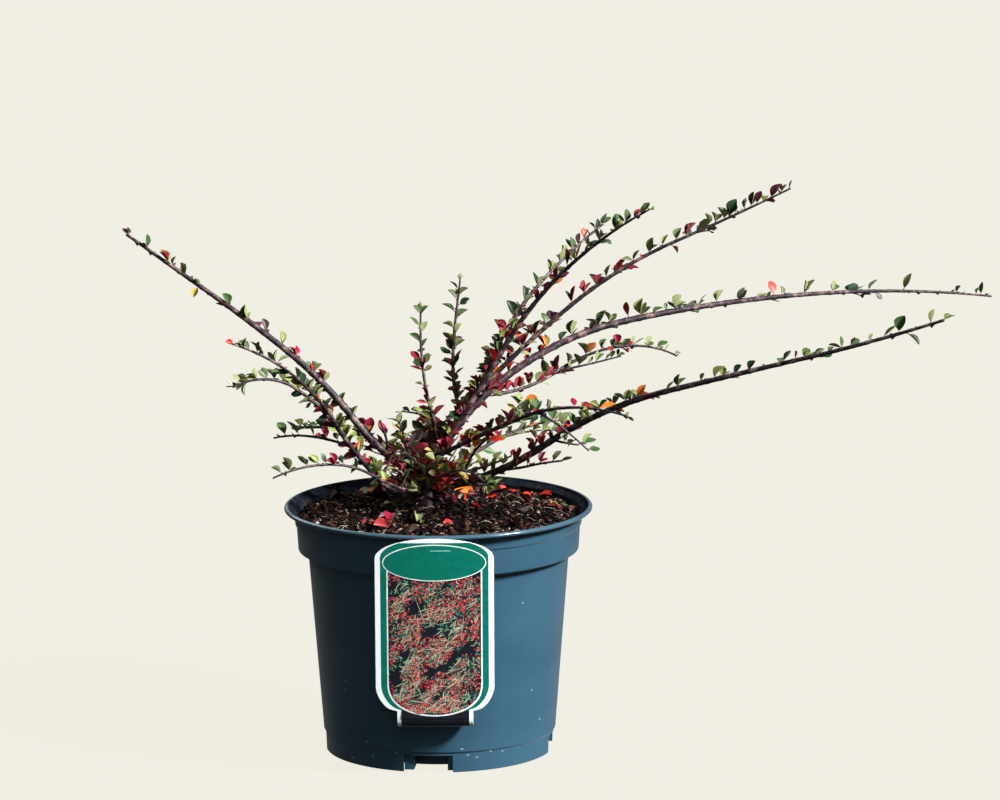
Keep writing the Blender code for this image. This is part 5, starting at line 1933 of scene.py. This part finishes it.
    def undergrowth(self, heap: Heap) -> None:
        """Short leafy twigs all round the stump, which hide it.

        Args:
            heap: where their skin goes.
        """
        dice = random.Random("thicket")
        trunk = self.lines["trunk"]
        for k in range(self.thicket):
            base = trunk.at(trunk.along[-1] * dice.uniform(0.35, 1.0))[0]
            heading = math.tau * (k + dice.uniform(-0.4, 0.4)) / self.thicket
            rise = math.radians(dice.uniform(6, 62))
            way = np.array((math.cos(rise) * math.cos(heading), math.cos(rise) * math.sin(heading),
                            math.sin(rise)))
            twig = self.twig(base, way, dice.uniform(18, 42) * MM, 0.7 * MM)
            self.skin(twig, heap, k + 0.3, False)
            self.ranked("back_low", dice, twig, (5.0 * MM, twig.along[-1]), lambda _: Palette.FOOT.draw(dice))

    def fill(self, name: str, heap: Heap) -> None:
        """Small tufts close together on a bough's foot, which the base's other leaves hide in part.

        Args:
            name: the bough's shoot.
            heap: where the spurs' skin goes.
        """
        dice = random.Random("fill " + name)
        line = self.lines[name]
        distance = 4 * MM
        while distance < min(self.fill_reach * MM, line.along[-1] * 0.4):
            spot = self.view.project(line.at(distance)[0][None, :])[0]
            words = []
            for _ in range(dice.choice((1, 2, 2, 3))):
                words.append(f"{dice.choice(('', '', '-'))}{dice.choice(Palette.FOOT.value)}{dice.uniform(8.5, 15.5):.1f}")
            self.tuft(name, dice, line, Tuft(spot[0], spot[1], " ".join(words)), heap)
            distance += self.fill_step * MM * dice.uniform(0.6, 1.5)

    def build(self) -> None:
        """Grow the wood and the leaves, and join each kind of wood."""
        self.trunk()
        boughs, twigs = Heap(), Heap()
        for count, (name, line) in enumerate(self.lines.items()):
            if name == "trunk":
                continue
            shoot = SHOOTS.get(name)
            self.skin(line, boughs if shoot else twigs, count * 3.7, bool(shoot))
            if shoot:
                self.dress_shoot(name, shoot, twigs)
                if shoot.length > 60:
                    self.fill(name, twigs)
        self.undergrowth(twigs)
        for name, rows in TUFTS.items():
            dice = random.Random("tufts " + name)
            owner = FORKS[name][0] if name in FORKS else name if name != "trunk" else "back_low"
            for row in rows:
                self.tuft(owner, dice, self.lines[name], Tuft(*row), twigs)
        nodes = tuple(node for node in frame["nodes"] if node.startswith("bough_"))
        boughs.piece("boughs_bark", Bark("bark_boughs").dress(), "bark", nodes)
        masses = tuple(node for node in frame["nodes"] if node.startswith("leaves_"))
        twigs.piece("twigs_bark", Bark("bark_twigs").dress(), "bark", masses)


@dataclass(frozen=True)
class Fallen:
    """A leaf that lies on the soil in the photograph."""

    x: float
    y: float
    tint: str
    size: float
    hour: float
    curl: float = 1.5


@dataclass
class Litter:
    """Fallen leaves, fibres and moss on the soil. Sizes are in millimetres."""

    view: View
    soil: Soil
    foliage: Foliage
    spread: float = 1.25
    strewn: int = 22
    fibres: int = 110
    moss: int = 46
    moss_x: float = 567.0
    moss_y: float = 503.0
    shown: tuple = (
        Fallen(513, 488, "s", 6, 2), Fallen(521, 490, "s", 5, 11), Fallen(538, 495, "s", 8, 2),
        Fallen(552, 499, "s", 7, 4), Fallen(474, 511, "s", 7, 10), Fallen(465, 497, "n", 9, 3, 0.7),
        Fallen(440, 489, "c", 7, 11), Fallen(435, 500, "c", 6, 3), Fallen(429, 508, "r", 5, 1),
        # The leaf at pixel 418, 506 is green but takes the lime tint: painted light where the plant's shadow falls
        # on it.
        Fallen(454, 482, "o", 8, 3), Fallen(418, 506, "l", 10, 9), Fallen(579, 507, "g", 6, 3),
        Fallen(400, 507, "o", 8, 3), Fallen(385, 505, "p", 5, 10), Fallen(461, 503, "p", 5, 2),
        Fallen(397, 508, "p", 4, 7), Fallen(363, 493, "p", 6, 3), Fallen(354, 494, "b", 6, 9),
        Fallen(381, 492, "c", 7, 2), Fallen(374, 492, "n", 6, 4), Fallen(369, 525, "c", 7, 3),
        Fallen(379, 525, "s", 7, 9), Fallen(390, 523, "c", 9, 12), Fallen(450, 527, "s", 7, 2),
        Fallen(408, 493, "w", 16, 10, 3.2), Fallen(396, 499, "w", 13, 1, 3.0), Fallen(403, 500, "y", 6, 2),
        Fallen(407, 503, "s", 5, 8), Fallen(494, 500, "w", 8, 8, 2.5), Fallen(337, 500, "w", 7, 2, 2.5),
        Fallen(513, 526, "r", 4, 3), Fallen(526, 515, "w", 7, 4, 2.2), Fallen(434, 521, "n", 6, 12),
        Fallen(417, 526, "p", 6, 12), Fallen(424, 527, "o", 6, 1), Fallen(386, 528, "s", 6, 5),
        Fallen(424, 500, "w", 9, 8, 2.5), Fallen(445, 502, "b", 9, 4, 2.5),
        Fallen(434, 507, "w", 8, 11, 2.5), Fallen(390, 487, "b", 9, 10, 2.5), Fallen(380, 500, "w", 9, 2, 2.5),
    )

    def on_soil(self, x: float, y: float, margin: float) -> np.ndarray:
        """The place on the soil nearest to one, off the pot's wall.

        Args:
            x: metres from the pot's axis.
            y: metres from the pot's axis.
            margin: the least distance from the soil's edge, in millimetres.

        Returns:
            The place, in metres.
        """
        share = min(1.0, (self.soil.edge_r - margin) * MM / max(math.hypot(x, y), MM))
        x, y = x * share, y * share
        return np.array((self.view.centre[0] + x, self.view.centre[1] + y, self.soil.height(x, y)))

    def spot(self, x: float, y: float, margin: float) -> np.ndarray:
        """Where the soil lies under a pixel.

        Args:
            x: pixels from the left.
            y: pixels from the top.
            margin: the least distance from the soil's edge, in millimetres.

        Returns:
            The point on the soil, in metres.
        """
        place = self.view.on_level(x, y, self.soil.edge_z * MM)
        return self.on_soil(place[0] - self.view.centre[0], place[1] - self.view.centre[1], margin)

    def anywhere(self, dice: random.Random, margin: float) -> np.ndarray:
        """A place on the soil, drawn at random.

        Args:
            dice: the draw.
            margin: the least distance from the soil's edge, in millimetres.

        Returns:
            The place, in metres.
        """
        reach = self.soil.edge_r * MM * math.sqrt(dice.random())
        angle = dice.uniform(0, math.tau)
        return self.on_soil(reach * math.cos(angle), reach * math.sin(angle), margin)

    def lay(self, place: np.ndarray, tint: Tint, size: float, hour: float, curl: float,
            dice: random.Random) -> None:
        """Lay one leaf down.

        Args:
            place: where its middle lies.
            tint: its colour.
            size: its length.
            hour: the hour that it points to, seen from above with twelve away from the camera.
            curl: how much more than others it is rolled up.
            dice: the draw.
        """
        angle = math.tau * hour / 12
        way = unit(np.array((math.sin(angle), math.cos(angle), dice.uniform(-0.1, 0.3))))
        size *= self.spread
        face = np.array((dice.uniform(-0.3, 0.5), dice.uniform(-1.0, -0.2), 1.0))
        root = place - way * size * 0.6 * MM + np.array((0.0, 0.0, size * 0.20 * MM))
        self.foliage.add(root, way, face, size * MM, tint, dice, "", curl)

    def strands(self, name: str, colour: tuple, curl: float, dice: random.Random) -> None:
        """Thin fibres on the soil.

        Args:
            name: the piece's name.
            colour: their colour.
            curl: how much they bend from step to step.
            dice: the draw.
        """
        heap = Heap()
        for _ in range(self.fibres):
            spot = self.anywhere(dice, 8.0)
            heading = dice.uniform(0, math.tau)
            bend = dice.gauss(0.0, curl)
            rise = dice.uniform(0.1, 2.2)
            points = []
            for k in range(9):
                points.append(spot + np.array((0.0, 0.0, (0.5 + rise * math.sin(k * 0.39)) * MM)))
                heading += bend * dice.uniform(0.2, 1.8)
                spot = spot + np.array((math.cos(heading), math.sin(heading), 0.0)) * dice.uniform(0.6, 1.4) * MM
            side = np.array((0.0, 0.0, 0.11 * MM))
            rows = []
            for before, after in zip(points, points[1:] + points[-1:]):
                way = after - before if after is not before else points[-1] - points[-2]
                aside = unit(np.cross(way, (0.0, 0.0, 1.0))) * 0.11 * MM
                rows.extend((before + aside, before + side, before - aside, before - side))
            faces = ring_faces(9, 4) + [(3, 2, 1, 0), (32, 33, 34, 35)]
            heap.add(np.array(rows), faces)
        heap.piece(name, Ink(name, colour).dress(), "peat")

    def build(self) -> None:
        """Strew the soil."""
        dice = random.Random("leaf litter")
        for leaf in self.shown:
            place = self.spot(leaf.x, leaf.y, leaf.size * self.spread * 0.7)
            self.lay(place, Tint.of(leaf.tint), leaf.size, leaf.hour, leaf.curl, dice)
        for _ in range(self.strewn):
            self.lay(self.anywhere(dice, 6.5), Palette.LITTER.draw(dice), dice.uniform(4, 7),
                     dice.uniform(0, 12), 1.8, dice)
        self.strands("pale_fibres", (0.46, 0.36, 0.27), 0.16, dice)
        self.strands("red_fibres", (0.20, 0.085, 0.055), 0.10, dice)
        heap = Heap()
        for _ in range(self.moss):
            place = self.spot(self.moss_x + dice.gauss(0, 5), self.moss_y + dice.gauss(0, 2.5),
                              dice.uniform(1.5, 9.0))
            heap.add(*self.soil.lump(dice, place, np.full(3, dice.uniform(0.6, 1.3) * MM)))
        heap.piece("soil_moss", Ink("moss_green", (0.26, 0.30, 0.05)).dress(), "peat")


@dataclass
class Studio:
    """A pale floor under soft light, and the camera at the photograph's angle."""

    view: View
    pale: tuple = (0.852, 0.833, 0.748)
    floor_albedo: float = 0.012
    room_r: float = 30.0
    ambient: float = 0.07

    def camera(self) -> bpy.types.Object:
        """Place the camera.

        Returns:
            The camera.
        """
        right, upward, forward = self.view.axes()
        data = bpy.data.cameras.new("camera")
        data.lens = self.view.lens
        data.sensor_width = self.view.sensor
        made = bpy.data.objects.new("camera", data)
        bpy.context.scene.collection.objects.link(made)
        turned = Matrix((right, upward, -forward)).transposed().to_4x4()
        made.matrix_world = Matrix.Translation(Vector(self.view.eye())) @ turned
        bpy.context.scene.camera = made
        return made

    def sun(self, name: str, way: tuple, strength: float, angle: float, colour: tuple) -> None:
        """Hang one soft, distant light.

        Args:
            name: the light's name.
            way: the direction that it shines.
            strength: how strong it is.
            angle: how wide it looks, in degrees.
            colour: its colour.
        """
        data = bpy.data.lights.new(name, "SUN")
        data.energy = strength
        data.angle = math.radians(angle)
        data.color = colour
        made = bpy.data.objects.new(name, data)
        made.rotation_euler = Vector(way).to_track_quat("-Z", "Y").to_euler()
        bpy.context.scene.collection.objects.link(made)

    def paper(self, name: str, shape: bpy.types.Object, albedo: float) -> None:
        """Make a shape part of the pale backdrop, lit evenly from behind.

        Args:
            name: the shape's name.
            shape: the floor or the wall behind.
            albedo: how much of the studio's light it throws back, which is what shows a shadow.
        """
        shape.name = name
        wiring = Wiring(name + "_paper", 1.0)
        wiring.set("Base Color", (albedo, albedo, albedo, 1.0))
        wiring.set("Specular IOR Level", 0.0)
        wiring.set("Emission Color", (*self.pale, 1.0))
        wiring.set("Emission Strength", 1.0)
        shape.data.materials.append(wiring.material)
        shape.visible_diffuse = False
        shape.visible_glossy = False

    def build(self) -> None:
        """Lay the floor, and set the lights and the camera."""
        bpy.ops.mesh.primitive_circle_add(vertices=96, radius=self.room_r, fill_type="NGON")
        self.paper("floor", bpy.context.object, self.floor_albedo)
        bpy.ops.mesh.primitive_uv_sphere_add(segments=48, ring_count=24, radius=self.room_r)
        self.paper("backdrop", bpy.context.object, 0.0)
        bpy.context.object.visible_shadow = False
        world = bpy.data.worlds.new("studio")
        world.use_nodes = True
        sky = world.node_tree.nodes["Background"]
        sky.inputs["Color"].default_value = (1.0, 1.0, 1.0, 1.0)
        sky.inputs["Strength"].default_value = self.ambient
        bpy.context.scene.world = world
        bpy.context.scene.view_settings.view_transform = "Standard"
        self.sun("key", (-0.720, 0.370, -0.587), 10.5, 12.0, (1.0, 1.0, 1.0))
        self.sun("fill", (-0.05, 0.80, -0.60), 0.45, 40.0, (1.0, 1.0, 1.0))
        self.sun("back", (0.45, -0.65, -0.60), 0.9, 40.0, (1.0, 1.0, 1.0))
        self.camera()


def main() -> None:
    """Dress the plant, its pot and label, and light them."""
    logging.basicConfig(level=logging.INFO, format="%(message)s")
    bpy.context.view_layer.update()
    pot = Pot()
    pot.build()
    soil = Soil()
    soil.build()
    Label().build()
    view = View(pot.centre)
    Scuffs(view, pot).build()
    foliage = Foliage()
    Litter(view, soil, foliage).build()
    Wood(view, foliage).build()
    foliage.build()
    Studio(view).build()


if __name__ == "__main__":
    main()
